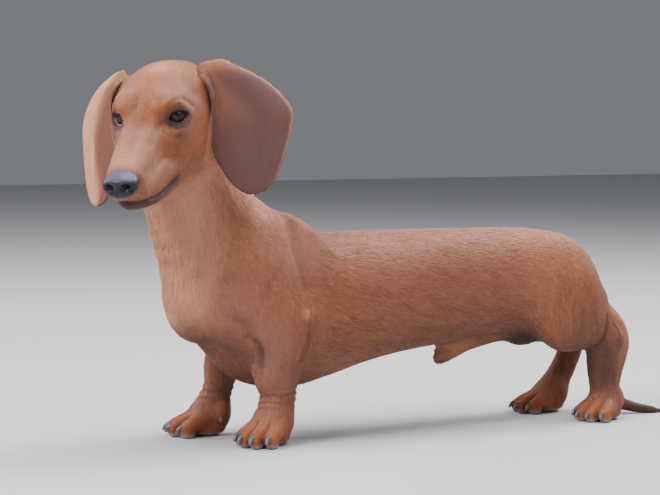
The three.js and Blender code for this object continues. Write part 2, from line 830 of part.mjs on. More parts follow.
// The jaw and throat are a loft of their own, from the neck to the chin.
function jawLoft(side) {
  const line = [
    [-52, 0, -62],
    [-24, 0, -62],
    [6, 0, -58],
    [34, 0, -52],
    [56, 0, -47],
    [70, 0, -42],
  ].map((point) => inHead(point).toArray());
  const stop = () => -FAR;
  return castLoft({ line, rings: 19, around: 24, ends: ["cut", "round"], side, stop, widest: 44 });
}

const socketSolid = (side, radius) =>
  solidOf(new THREE.SphereGeometry(radius, 14, 9).applyMatrix4(eyeFrame(side)));

// The almond opening between the lids, from two arcs of one circle.
const opening = { halfWidth: 8.7, halfHeight: 6.6 };
const lidArc = (opening.halfWidth ** 2 + opening.halfHeight ** 2) / (2 * opening.halfHeight);
function almond(count) {
  const swing = Math.asin(opening.halfWidth / lidArc);
  const drop = lidArc - opening.halfHeight;
  const points = [];
  for (const lid of [1, -1])
    for (let i = 0; i < count; i++) {
      const angle = swing * ((2 * i) / count - 1);
      const across = lidArc * Math.sin(angle);
      const up = lidArc * Math.cos(angle) - drop;
      points.push([lid * across, lid * up]);
    }
  return points;
}
function eyeOpening(side) {
  const outline = new THREE.Shape(almond(7).map(([y, z]) => new THREE.Vector2(y, z)).reverse());
  const slot = new THREE.ExtrudeGeometry(outline, { depth: 24, bevelEnabled: false });
  const toAxis = new THREE.Matrix4().makeBasis(vec([0, 1, 0]), vec([0, 0, 1]), vec([1, 0, 0]));
  return solidOf(slot.applyMatrix4(toAxis.premultiply(eyeFrame(side))));
}
// The rolled edge of the lids, a thin ring that follows the opening over the ball.
function lidRim(side) {
  const rim = { over: 1.1, radius: 1.5, sides: 5 };
  const ring = almond(9).map(([y, z]) => {
    const from = eye.radius + rim.over;
    return vec([Math.sqrt(from * from - y * y - z * z), y, z]);
  });
  const curve = new THREE.CatmullRomCurve3(ring, true);
  const count = 18;
  const frame = eyeFrame(side);
  const sections = Array.from({ length: count + 1 }, (_, i) => {
    const centre = curve.getPointAt((i % count) / count);
    const along = curve.getTangentAt((i % count) / count);
    const out = centre.clone().normalize();
    const flat = along.clone().cross(out).normalize();
    return Array.from({ length: rim.sides }, (_, k) => {
      const angle = (2 * Math.PI * k) / rim.sides;
      const point = centre.clone().addScaledVector(out, rim.radius * Math.cos(angle));
      return point.addScaledVector(flat, rim.radius * Math.sin(angle)).applyMatrix4(frame);
    });
  });
  return solidOf(new LoftGeometry(sections));
}

// The nose pad: rings of x, half width, half height and middle height, squared off and narrower below.
const noseRings = [
  [73, 11, 6.8, -20],
  [78, 14.2, 9.2, -21],
  [83, 15.3, 10, -21.8],
  [88, 14.9, 9.8, -22.2],
  [91.5, 13, 8.6, -22.2],
  [93.4, 9.6, 6.2, -22],
  [94.3, 4.6, 3.2, -21.8],
];
const squared = (share) => Math.sign(share) * Math.abs(share) ** 0.8;
function noseSolid(grow = 0) {
  const around = 15;
  const narrowing = 0.3;
  const sections = noseRings.map(([x, half, tall, middle], i) => {
    const push = grow * ((2 * i) / (noseRings.length - 1) - 1);
    return Array.from({ length: around }, (_, k) => {
      const angle = (2 * Math.PI * k) / around;
      const [across, up] = [Math.cos(angle), Math.sin(angle)].map(squared);
      const squeeze = 1 - narrowing * Math.max(-up, 0) ** 1.5;
      const y = (half + grow) * across * squeeze;
      return inHead([x + push, y, middle + (tall + grow) * up]);
    });
  });
  return solidOf(new LoftGeometry(sections, { capStart: true, capEnd: true }));
}
function nostril(side) {
  const pit = (centre, radii, turn) => {
    const ball = new THREE.SphereGeometry(1, 8, 5).scale(...radii);
    ball.rotateZ(side * turn).translate(centre[0], side * centre[1], centre[2]);
    return solidOf(ball.applyMatrix4(headFrame));
  };
  return pit([91, 7.2, -20.5], [5.5, 3.2, 3.4], 0.25).add(pit([87, 12, -23], [6.5, 3.4, 1.5], -0.5));
}

function headNodes() {
  const line = [
    [-62, 0, -49],
    [-50, 0, -36],
    [-34, 0, -24],
    [-12, 0, -18],
    [20, 0, -24],
    [50, 0, -28],
    [76, 0, -25],
  ].map((point) => inHead(point).toArray());
  const crowd = headStations();
  const left = new THREE.Vector3(0, 1, 0).transformDirection(headFrame).toArray();
  const zone = new Zone(headCut);
  const loft = {
    line,
    around: 42,
    ends: ["cut", "round"],
    side: left,
    crowd,
    stop: (x, y, z) => zone.depth(x, y, z),
  };
  let skull = castLoft(loft).intersect(zone.solid(GAP / 2));
  for (const side of SIDES) {
    skull = skull.add(lidRim(side)).subtract(socketSolid(side, eye.radius + GAP));
    skull = skull.subtract(eyeOpening(side));
  }
  skull = skull.subtract(noseSolid(GAP));
  const jawGap = 0.25;
  return {
    head: skull.subtract(underLips(-jawGap)),
    lower_jaw: jawLoft(left).intersect(underLips(jawGap)).intersect(zone.solid(GAP / 2)),
    grown: castLoft({ ...loft, grow: 1.5 * GAP }),
  };
}
// Rings stand closer together past the eyes.
function headStations() {
  const count = 39;
  const weights = Array.from({ length: count - 1 }, (_, i) => {
    const s = i / (count - 2);
    const nearEye = Math.exp(-(((s - 0.44) / 0.12) ** 2));
    const nearTip = s > 0.9 ? 1 - 6 * (s - 0.9) : 1;
    return (1 - 0.55 * nearEye) * nearTip;
  });
  const total = weights.reduce((sum, weight) => sum + weight);
  let run = 0;
  return [0, ...weights.map((weight) => Math.min((run += weight) / total, 1))];
}

// Ears

// A hanging leaf: rows of down, middle, half width and bow. Its front edge curls in.
const ears = {
  [LEFT]: {
    root: [-39, 35, 14],
    raise: 4.5,
    turn: 45,
    tilt: 0.17,
    size: [1.04, 1.06, 1.07],
    rows: [
      [-11, 17, 3, -6],
      [-8, 19, 12, -3.5],
      [-2, 21, 18, -0.5],
      [6, 26.5, 25.5, 1],
      [17, 33, 33, 2],
      [30, 38.5, 38, 3],
      [44, 43.3, 39.8, 4],
      [58, 42.5, 37, 4.5],
      [72, 41, 32, 4.5],
      [86, 39.5, 25.5, 4],
      [96, 38.5, 19, 3.5],
      [103, 37.5, 12, 3],
      [107, 37.5, 5, 3],
    ],
  },
  [RIGHT]: {
    root: [-37, -34, 13],
    raise: 5,
    turn: 42,
    tilt: 0.08,
    size: [1.08, 0.95, 0.96],
    rows: [
      [-7, 12, 3, -7],
      [-3, 15, 11, -3.5],
      [3, 19, 20, -0.5],
      [10, 26, 28, 1],
      [20, 34, 35, 2],
      [32, 40, 38.5, 3],
      [44, 43, 39, 4],
      [58, 43, 36.5, 4.5],
      [72, 43, 32, 4.5],
      [86, 43.5, 26.5, 4],
      [96, 44, 20.5, 3.5],
      [103, 43.5, 13.5, 3],
      [107, 43, 6, 3],
    ],
  },
};
const leaf = { thickness: 3, frontCurl: 10, backCurl: 5.5, rings: 15, across: 8 };

function earFrame(side) {
  const { turn, tilt, root, raise } = ears[side];
  const heading = vec([-Math.cos(degrees(head.yaw)), -Math.sin(degrees(head.yaw)), 0]);
  const outward = vec([-heading.y, heading.x, 0]).multiplyScalar(headSide(side));
  const t = degrees(turn);
  const face = heading.clone().multiplyScalar(Math.cos(t)).addScaledVector(outward, Math.sin(t));
  const back = heading.clone().multiplyScalar(-Math.sin(t)).addScaledVector(outward, Math.cos(t));
  const down = vec([0, 0, -1]).addScaledVector(back, tilt).normalize();
  back.addScaledVector(down, -back.dot(down)).normalize();
  face.addScaledVector(down, -face.dot(down)).addScaledVector(back, -face.dot(back)).normalize();
  const at = inHead(root).add(vec([0, 0, raise]));
  return new THREE.Matrix4().makeBasis(down, back, face).setPosition(at);
}

function earSolid(side) {
  const { rows, size } = ears[side];
  const fine = densify(
    rows.map(([down, middle, half, bow]) => [
      down * size[0],
      middle * size[1],
      half * size[2],
      bow,
    ]),
    5,
  );
  const length = fine.at(-1)[0] - fine[0][0];
  const at = (down) => {
    const i = Math.min(Math.max(fine.findIndex((row) => row[0] >= down), 1), fine.length - 1);
    const t = (down - fine[i - 1][0]) / (fine[i][0] - fine[i - 1][0]);
    return fine[i].map((value, n) => fine[i - 1][n] + t * (value - fine[i - 1][n]));
  };
  const frame = earFrame(side);
  const sections = stations(leaf.rings, true, true).map((s) => {
    const down = fine[0][0] + length * (0.01 + 0.98 * s);
    const [, middle, half, bow] = at(down);
    const taper = Math.min(0.35 + (length / 8) * Math.min(s, 1 - s), 1);
    const face = [];
    const rear = [];
    for (let k = 0; k < leaf.across; k++) {
      const e = -Math.cos((Math.PI * k) / (leaf.across - 1));
      const curl = (e < 0 ? leaf.frontCurl : leaf.backCurl) * e * e * Math.min(half / 34, 1);
      const edge = Math.sqrt(Math.max(1 - e ** 4, 0.06));
      const thick = (leaf.thickness / 2) * edge * taper;
      face.push(vec([down, middle + half * e, bow - curl + thick]).applyMatrix4(frame));
      rear.unshift(vec([down, middle + half * e, bow - curl - thick]).applyMatrix4(frame));
    }
    const ring = [...face, ...rear];
    return headSide(side) > 0 ? ring.reverse() : ring;
  });
  return solidOf(new LoftGeometry(sections, { capStart: true, capEnd: true }));
}

// The dog

const dog = new THREE.Group();
const GRAIN = 0.01; // vertices are set on a grid this fine, which closes the slivers of a cut

// A solid's geometry with its vertices on the grid and the faces that this closes left out.
function settled(solid) {
  const { vertProperties, triVerts } = solid.getMesh();
  const geometry = new THREE.BufferGeometry();
  const onGrid = vertProperties.map((value) => Math.round(value / GRAIN) * GRAIN);
  geometry.setAttribute("position", new THREE.BufferAttribute(onGrid, 3));
  geometry.setIndex(new THREE.BufferAttribute(triVerts, 1));
  const merged = mergeVertices(geometry, GRAIN / 10);
  const faces = Array.from({ length: merged.index.count / 3 }, (_, i) =>
    Array.from(merged.index.array.slice(3 * i, 3 * i + 3)),
  );
  merged.setIndex(faces.filter(([a, b, c]) => a !== b && b !== c && c !== a).flat());
  return merged;
}

function addNode(name, solid, material) {
  const mesh = new THREE.Mesh(settled(largest(solid)), material);
  mesh.name = name;
  dog.add(mesh);
}

addNode("torso", torso(), coat);
const neckSolid = neck();
addNode("neck", neckSolid, coat);
const skull = headNodes();
addNode("head", skull.head, coat);
addNode("lower_jaw", skull.lower_jaw, coat);
addNode("nose", SIDES.reduce((pad, side) => pad.subtract(nostril(side)), noseSolid()), nosePad);
for (const side of SIDES) {
  const name = sideName(side);
  addNode(`eye_${name}`, socketSolid(side, eye.radius), eyeball);
  addNode(`ear_${name}`, earSolid(side).subtract(skull.grown), ear);
  addNode(`foreleg_${name}`, forelegNode(side).subtract(dewclawSolid(side, GAP)), coat);
  addNode(`dewclaw_${name}`, dewclawSolid(side), horn);
  addNode(`thigh_${name}`, thighNode(side), coat);
  addNode(`hind_leg_${name}`, hindLegNode(side), coat);
}
for (const paw of paws) {
  addNode(`foot_${paw.name}`, pawNode(paw), coat);
  toes.forEach((toe, i) => addNode(`claw_${paw.name}_${i + 1}`, clawSolid(paw, toe), horn));
}
for (const [name, solid] of Object.entries(tailNodes())) addNode(name, solid, coat);

// Centred over the middle of the box that holds it.
const box = new THREE.Box3().setFromObject(dog);
dog.position.set(-(box.min.x + box.max.x) / 2, -(box.min.y + box.max.y) / 2, 0);

export default dog;
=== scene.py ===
"""The looks of the still dachshund model: skin, short coat, ears, eyes, nose and claws round the frame.

Shapes are worked out in millimetres in the dog's own frame (the dog faces -X, its left is towards
-Y, +Z is up, the floor is z = 0) and put into the meshes in metres in the part's frame.
"""

import logging
from dataclasses import dataclass, field
from enum import Enum

import bpy
import numpy as np
from mathutils import Matrix, Vector


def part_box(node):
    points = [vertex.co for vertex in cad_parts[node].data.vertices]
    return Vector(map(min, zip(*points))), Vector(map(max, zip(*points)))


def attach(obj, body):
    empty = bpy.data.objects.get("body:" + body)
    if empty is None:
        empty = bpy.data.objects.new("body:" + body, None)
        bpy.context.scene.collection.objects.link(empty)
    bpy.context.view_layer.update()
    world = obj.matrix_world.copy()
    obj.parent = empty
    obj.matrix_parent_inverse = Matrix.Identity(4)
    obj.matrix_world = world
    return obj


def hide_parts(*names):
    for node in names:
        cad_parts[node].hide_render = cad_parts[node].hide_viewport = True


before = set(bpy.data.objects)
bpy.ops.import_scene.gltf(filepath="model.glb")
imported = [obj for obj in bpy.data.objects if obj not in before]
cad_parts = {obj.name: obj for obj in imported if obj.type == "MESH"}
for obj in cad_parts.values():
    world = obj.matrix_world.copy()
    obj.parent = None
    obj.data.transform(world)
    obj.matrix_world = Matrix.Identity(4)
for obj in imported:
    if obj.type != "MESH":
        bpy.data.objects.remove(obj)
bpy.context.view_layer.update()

Array = np.ndarray
Material = bpy.types.Material
Piece = bpy.types.Object
Socket = bpy.types.NodeSocket
Tree = bpy.types.NodeTree
LEFT = -1
RIGHT = 1
SIDES = (LEFT, RIGHT)
SIDE_NAMES = {LEFT: "left", RIGHT: "right"}
log = logging.getLogger("dachshund")


# Small tools for points


def unit(vectors: Array) -> Array:
    """Vectors divided by their lengths, one vector or rows of them."""
    vectors = np.asarray(vectors, float)
    return vectors / np.maximum(np.linalg.norm(vectors, axis=-1, keepdims=True), 1e-9)


def bell(distance: Array, width: float) -> Array:
    """exp(-(distance / width)^2): 1 in the middle, falling off over the width."""
    return np.exp(-((np.asarray(distance) / width) ** 2))


def ramp(value: Array, start: float, end: float) -> Array:
    """3t^2 - 2t^3 of t, the value's place between start and end, held to 0 and 1 outside them."""
    t = np.clip((np.asarray(value) - start) / (end - start), 0, 1)
    return t * t * (3 - 2 * t)


def melt(a: Array, b: Array, blend: float) -> Array:
    """The depth of two masses together: min(a, b) less a fillet where they are within the blend."""
    near = np.maximum(blend - np.abs(a - b), 0) / blend
    return np.minimum(a, b) - near * near * blend / 4


def hollow(a: Array, b: Array, blend: float) -> Array:
    """The depth of the first mass with the second hollowed out of it."""
    return -melt(-a, b, blend)


def densify(rows: Array, steps: int) -> Array:
    """Rows with more rows between them, on a Catmull-Rom curve through the given ones.

    Args:
        rows: the rows of a table.
        steps: how many spans each span becomes.

    Returns:
        The finer table, with the given rows among its own.
    """
    table = np.asarray(rows, float)
    padded = np.vstack([2 * table[0] - table[1], table, 2 * table[-1] - table[-2]])
    p0, p1, p2, p3 = (padded[i : len(padded) - 3 + i, None] for i in range(4))
    t = (np.arange(steps) / steps)[None, :, None]
    slope = (p2 - p0) * t
    bend = (2 * p0 - 5 * p1 + 4 * p2 - p3) * t**2
    twist = (3 * p1 - p0 - 3 * p2 + p3) * t**3
    inner = (2 * p1 + slope + bend + twist) / 2
    return np.vstack([inner.reshape(-1, table.shape[1]), table[-1:]])


@dataclass(frozen=True)
class Turned:
    """A frame of its own: columns of axes, an origin and a size."""

    axes: Array
    origin: Array
    size: float = 1.0

    def inside(self, points: Array) -> Array:
        """Points of the dog's frame in this frame."""
        return (points - self.origin) @ self.axes / self.size

    def outside(self, points: Array) -> Array:
        """Points of this frame in the dog's frame."""
        return np.asarray(points, float) @ self.axes.T * self.size + self.origin

    def outward(self, vectors: Array) -> Array:
        """Directions of this frame in the dog's frame."""
        return np.asarray(vectors, float) @ self.axes.T


# Masses


class Mass:
    """A rounded mass with a depth that is negative inside it and about a distance near it."""

    low: Array
    high: Array
    blend: float

    def depth(self, points: Array) -> Array:
        """The depth of points, in this mass's own frame."""
        raise NotImplementedError


@dataclass
class Ball(Mass):
    """An ellipsoid (|x/a|^p + |y/b|^p + |z/c|^p)^(1/p) = 1. A power over 2 squares it off."""

    centre: tuple
    radii: tuple
    blend: float
    power: float = 2.0

    def __post_init__(self) -> None:
        """Works out its box."""
        self.low = np.subtract(self.centre, self.radii)
        self.high = np.add(self.centre, self.radii)

    def depth(self, points: Array) -> Array:
        """(size - 1) over the size's slope.

        Args:
            points: rows of x, y, z.

        Returns:
            The depths, negative inside.
        """
        p = self.power
        q = np.abs(points - self.centre) / self.radii
        size = (q**p).sum(1) ** (1 / p) + 1e-9
        slope = np.sqrt(((q ** (p - 1) / self.radii) ** 2).sum(1))
        return (size - 1) / (slope / size ** (p - 1) + 1e-9)


@dataclass
class Limb(Mass):
    """Oval sections along a line: rows of x, y, z, half width and half depth.

    Its ends bulge by the cap's share of the smaller half size.
    """

    rows: list
    blend: float
    cap: float = 1.0

    def __post_init__(self) -> None:
        """Works out its finer rows and its box."""
        self.table = densify(self.rows, 4) if len(self.rows) > 2 else np.array(self.rows, float)
        wide = self.table[:, 3:5].max(1, keepdims=True)
        self.low = (self.table[:, :3] - wide).min(0)
        self.high = (self.table[:, :3] + wide).max(0)

    def depth(self, points: Array) -> Array:
        """The depth under the nearest span, as an oval (u/wide)^2 + (v/deep)^2 + (w/end)^2 = 1.

        Args:
            points: rows of x, y, z.

        Returns:
            The depths, negative inside.
        """
        nearest = np.full(len(points), np.inf)
        found = np.zeros(len(points))
        for start, end in zip(self.table[:-1], self.table[1:]):
            along = end[:3] - start[:3]
            length = np.linalg.norm(along)
            axis = along / length
            across = unit(np.array([0, 1, 0]) - axis[1] * axis)
            other = np.cross(axis, across)
            t = np.clip((points - start[:3]) @ axis / length, 0, 1)
            q = points - start[:3] - (t * length)[:, None] * axis
            wide = start[3] + t * (end[3] - start[3])
            deep = start[4] + t * (end[4] - start[4])
            small = np.minimum(wide, deep)
            away = np.sqrt((q * q).sum(1)) - small
            u, v, w = q @ across, q @ other, q @ axis
            cap = small * self.cap
            size = np.sqrt((u / wide) ** 2 + (v / deep) ** 2 + (w / cap) ** 2) + 1e-9
            slope = np.sqrt((u / wide**2) ** 2 + (v / deep**2) ** 2 + (w / cap**2) ** 2) + 1e-9
            value = np.where(size < 0.05, -small, size * (size - 1) / slope)
            closer = away < nearest
            found = np.where(closer, value, found)
            nearest = np.minimum(nearest, away)
        return found


@dataclass
class Barrel(Mass):
    """The trunk: rows of x, back, underline and half width, with squared-off sections.

    Its ends bulge by the front's and the rear's lengths.
    """

    rows: tuple
    blend: float
    power: float
    front: float
    rear: float

    def __post_init__(self) -> None:
        """Works out its finer rows and its box."""
        self.table = densify(self.rows, 6)
        wide = self.table[:, 3].max()
        self.low = np.array([self.table[0, 0] - self.front, -wide, self.table[:, 2].min()])
        self.high = np.array([self.table[-1, 0] + self.rear, wide, self.table[:, 1].max()])

    def depth(self, points: Array) -> Array:
        """(hypot(section, past the end) - 1) times the smaller half size.

        Args:
            points: rows of x, y, z.

        Returns:
            The depths, negative inside.
        """
        xs = self.table[:, 0]
        x = np.clip(points[:, 0], xs[0], xs[-1])
        back, under, half = (np.interp(x, xs, self.table[:, i]) for i in (1, 2, 3))
        tall = (back - under) / 2
        u = np.abs(points[:, 1]) / half
        v = np.abs(points[:, 2] - (back + under) / 2) / tall
        over = points[:, 0] - x
        past = np.abs(over) / np.where(over < 0, self.front, self.rear)
        section = (u**self.power + v**self.power) ** (1 / self.power)
        small = np.minimum(np.minimum(half, tall), 60)
        return (np.hypot(section, past) - 1) * small * 0.9


@dataclass
class Placed(Mass):
    """A mass in a turned frame."""

    mass: Mass
    place: Turned

    def __post_init__(self) -> None:
        """Works out its box in the dog's frame."""
        mass, place = self.mass, self.place
        self.blend = mass.blend
        middle = place.outside((mass.low + mass.high) / 2)
        half = np.abs(place.axes) @ (mass.high - mass.low) / 2 * place.size
        self.low = middle - half
        self.high = middle + half

    def depth(self, points: Array) -> Array:
        """The mass's depth in its own frame."""
        return self.mass.depth(self.place.inside(points))


FAR = 60.0
REACH = 30.0


def depth_of(masses: list, points: Array) -> Array:
    """The depth of points under the melted masses of a list.

    Args:
        masses: the masses, each left out where a point is over REACH outside its box.
        points: rows of x, y, z.

    Returns:
        The depths, negative inside, at most FAR.
    """
    depth = np.full(len(points), FAR)
    if not len(points):
        return depth
    low, high = points.min(0), points.max(0)
    for mass in masses:
        if (mass.low - REACH > high).any() or (mass.high + REACH < low).any():
            continue
        near = np.all((points > mass.low - REACH) & (points < mass.high + REACH), axis=1)
        if near.any():
            depth[near] = melt(depth[near], mass.depth(points[near]), mass.blend)
    return depth


# The dog's frames


def head_frame() -> Turned:
    """The head's frame: x along the bridge of the nose, y to the head's left, z up, from mid-eye.

    Returns:
        The frame.
    """
    yaw, pitch, roll = np.radians([47.5, 26, 2])
    x = np.array([-np.cos(yaw) * np.cos(pitch), -np.sin(yaw) * np.cos(pitch), -np.sin(pitch)])
    level = np.array([np.sin(yaw), -np.cos(yaw), 0])
    y = level * np.cos(roll) + np.cross(x, level) * np.sin(roll)
    return Turned(np.stack([x, y, np.cross(x, y)], 1), np.array([-117.0, -54.0, 294.5]))


HEAD = head_frame()


@dataclass(frozen=True)
class EyePlace:
    """Where an eyeball sits in the head's frame, and how its axis turns out."""

    forward: float = -7.0
    aside: float = 23.0
    up: float = -1.5
    radius: float = 10.0
    splay: float = 35.0
    lift: float = 0.1

    def turned(self, side: int) -> Turned:
        """The eye's frame: x out along its axis, z up along the opening.

        Args:
            side: LEFT or RIGHT.

        Returns:
            The frame in the dog's frame.
        """
        splay = np.radians(self.splay)
        out = unit(np.array([np.cos(splay), -side * np.sin(splay), self.lift]))
        across = unit(np.cross([0, 0, 1], out))
        axes = np.stack([out, across, np.cross(out, across)], 1)
        origin = HEAD.outside([self.forward, -side * self.aside, self.up])
        return Turned(HEAD.axes @ axes, origin)


EYE = EyePlace()


@dataclass(frozen=True)
class Paw:
    """A paw: its name, its limb, its place on the floor, its heading and its size."""

    name: str
    fore: bool
    side: int
    at: tuple
    heading: float
    size: float

    def turned(self) -> Turned:
        """The paw's frame: x towards its toes, z up, from the floor under its middle.

        Returns:
            The frame in the dog's frame.
        """
        turn = np.radians(self.heading)
        x = np.array([-np.cos(turn), self.side * np.sin(turn), 0])
        y = np.array([-x[1], x[0], 0])
        axes = np.stack([x, y, [0, 0, 1]], 1)
        return Turned(axes, np.array([self.at[0], self.at[1], 0.0]), self.size)


PAWS = (
    Paw("front_left", True, LEFT, (-1, -43.5), 27, 1.0),
    Paw("front_right", True, RIGHT, (-31, 42), 13, 1.0),
    Paw("hind_left", False, LEFT, (358, -38), 18, 0.94),
    Paw("hind_right", False, RIGHT, (335, 37), 8, 0.94),
)


@dataclass(frozen=True)
class Toe:
    """A toe: how far it stands to the side, how far it reaches and how it spreads."""

    offset: float
    reach: float
    spread: float

    def tip(self) -> tuple:
        """The middle of its end, in the paw's frame."""
        return (self.reach, self.offset + 8 * self.spread, 7.8)


TOES = (
    Toe(-15.5, 14, -0.22),
    Toe(-5.8, 22.5, -0.05),
    Toe(5.8, 22.5, 0.05),
    Toe(15.5, 14, 0.22),
)


# Anatomy


@dataclass
class Anatomy:
    """The masses of the dog by region, from the same tables as the solids."""

    trunk_rows: tuple = (
        (-48, 150, 95, 38), (-34, 168, 76, 46), (-14, 180, 57, 53), (10, 187, 48, 56),
        (40, 191, 46, 58), (75, 188, 54, 59), (110, 188.5, 64, 58), (150, 188.5, 72, 55),
        (195, 188.5, 77.5, 50), (240, 188, 83, 46), (280, 187.5, 85, 46), (303, 185, 86, 45.5),
        (324, 176, 91, 42), (339, 162, 99, 35),
    )
    neck_rows: tuple = (
        (10, 0, 138, 54, 54), (-22, 0, 168, 50, 60), (-50, 0, 213, 43, 46),
        (-65, 1, 252, 38, 42), (-71, 5, 288, 34, 38),
    )
    tail_rows: tuple = (
        (340, 0, 146, 14, 14), (362, 0, 122, 13.5, 13.5), (383, 0, 101, 12, 12.5),
        (399, 0, 86, 11, 11), (405, 0, 71, 10.2, 10.2), (402, -1, 56, 9.6, 9.6),
        (397, -2, 41, 8.8, 8.8), (394, -4, 26, 7.8, 7.8), (399, -8, 12, 6.6, 6.6),
        (413, -14, 6, 5.4, 5.4), (428, -20, 3.4, 4, 4), (439, -24.5, 1.6, 2, 2),
    )
    fore_heights: tuple = (108, 88, 66, 47, 34, 22)
    fore_half_width: tuple = (20, 18, 15, 13.5, 14, 15)
    fore_half_depth: tuple = ((25, 24.5, 23, 18.5, 17.5, 17), (25, 22, 18.5, 15, 15, 15.5))
    fore_lean_x: tuple = ((17, 12.5, 9.5, 11.5, 9.5, 6), (13, 5, -5, -9, -14, -20))
    fore_lean_y: tuple = (46, 45.5, 43.5, 42.5, 42, 42)
    pastern_heights: tuple = (78, 64, 50, 34, 20)
    pastern_half_width: tuple = (9, 10.5, 10.5, 11, 12.5)
    pastern_half_depth: tuple = ((11, 18.5, 17.5, 15, 14), (11, 12.5, 13, 13.5, 14))
    pastern_lean_x: tuple = ((373, 363.5, 362, 362.5, 363), (376, 372, 366, 357, 348))
    pastern_lean_y: tuple = (36, 36, 36.3, 36.5, 37)
    head_blend: float = 16.0
    head_floor: float = 170.0
    regions: dict = field(default_factory=dict)
    stop_hollows: list = field(default_factory=list)
    lids: list = field(default_factory=list)

    def __post_init__(self) -> None:
        """Builds the masses of every region."""
        self.regions = {
            "trunk": self.trunk(),
            "neck": [Limb(self.neck_rows, 26)],
            "fore": [m for side in SIDES for m in self.forequarter(side)],
            "hind": [m for side in SIDES for m in self.hindquarter(side)],
            "tail": [Limb(self.tail_rows, 10)],
            "paws": [Placed(m, paw.turned()) for paw in PAWS for m in self.paw_masses()],
            "head": [Placed(m, HEAD) for m in self.head_masses()],
        }
        pits = [Ball((11, -side * 28, 3), (10, 6.5, 7.5), 9) for side in SIDES]
        self.stop_hollows = [Placed(pit, HEAD) for pit in pits]
        lid = Ball((1, 0, 0), (10.4, 11.4, 10), 7)
        self.lids = [Placed(lid, EYE.turned(side)) for side in SIDES]

    def trunk(self) -> list:
        """Barrel, prow of the breastbone, sheath and scrotum.

        Returns:
            The masses.
        """
        sheath = [(264, 0, 86, 8, 8), (232, 0, 79, 9, 9), (210, 0, 70, 9, 9), (200, 0, 64, 6, 6.5)]
        return [
            Barrel(self.trunk_rows, 20, 2.25, 22, 12),
            Ball((-48, 0, 124), (24, 24, 28), 22),
            Limb(sheath, 14),
            Ball((292, 0, 86), (20, 15, 14.5), 12),
        ]

    def forequarter(self, side: int) -> list:
        """Shoulder blade, upper arm, elbow, foreleg and the dewclaw's toe of one side.

        Args:
            side: LEFT or RIGHT.

        Returns:
            The masses.
        """
        i = 0 if side == LEFT else 1
        s = side
        lean_x, lean_y, heights = self.fore_lean_x[i], self.fore_lean_y, self.fore_heights
        widths, depths = self.fore_half_width, self.fore_half_depth[i]
        column = [
            (x, s * y, z, w, d) for x, y, z, w, d in zip(lean_x, lean_y, heights, widths, depths)
        ]
        blade = [(40, s * 30, 180, 14, 30), (5, s * 41, 152, 17, 34), (-31, s * 42, 120, 17, 24)]
        arm = [(-31, s * 42, 120, 18, 24), (4, s * 47, 108, 20, 28), (30, s * 46, 106, 19, 26)]
        elbow = [(34, s * 45, 112, 9, 16), (38, s * 47, 104, 8, 13)]
        toe = Ball(self.dewclaw_at(side), (5.5, 5, 7), 4)
        return [Limb(blade, 22), Limb(arm, 18), Limb(elbow, 12), Limb(column, 8), toe]

    def dewclaw_at(self, side: int) -> tuple:
        """The middle of the dewclaw's toe, inside the pastern of one side."""
        i = 0 if side == LEFT else 1
        return (self.fore_lean_x[i][4] + 1, side * (self.fore_lean_y[4] - 15.5), 23)

    def hindquarter(self, side: int) -> list:
        """Hip, thigh, shank, hamstring and pastern of one side.

        Args:
            side: LEFT or RIGHT.

        Returns:
            The masses.
        """
        i = 0 if side == LEFT else 1
        s = side
        column = [
            (x, s * y, z, w, d)
            for x, y, z, w, d in zip(
                self.pastern_lean_x[i], self.pastern_lean_y, self.pastern_heights,
                self.pastern_half_width, self.pastern_half_depth[i],
            )
        ]
        thigh = [(322, s * 30, 126, 24, 36), (318, s * 38, 104, 20, 31), (312, s * 42, 90, 15, 21)]
        shank = [
            (312, s * 42, 90, 14.5, 18.5), (338, s * 40, 86, 13.5, 17),
            (360, s * 37, 79, 11, 13.5), (374, s * 36, 75, 8.5, 10),
        ]
        hamstring = [(346, s * 36, 104, 14, 24), (367, s * 36, 82, 8, 12)]
        return [
            Ball((316, s * 27, 130), (40, 29, 48), 22), Limb(thigh, 20), Limb(shank, 14),
            Limb(hamstring, 16), Limb(column, 10),
        ]

    def paw_masses(self) -> list:
        """Instep, arched toes with their pads, and the heel pad, in a paw's frame.

        Returns:
            The masses.
        """
        instep = [(-16, 0, 20, 15, 16), (-3, 0, 15, 18, 13), (8, 0, 11, 17, 9.5)]
        masses = [Limb(instep, 10)]
        for toe in TOES:
            x, y, z = toe.tip()
            arch = [
                (-2, toe.offset * 0.7, 15.5, 7.5, 7),
                (toe.reach - 8, toe.offset * 0.95 + 4 * toe.spread, 12.6, 6.4, 6.6),
                (x, y, z, 5.8, 6.6),
            ]
            masses += [Limb(arch, 5), Ball((x - 2, y, 3.6), (7.5, 5.6, 5), 3)]
        return masses + [Ball((-9, 0, 6), (16, 15.5, 7), 6)]

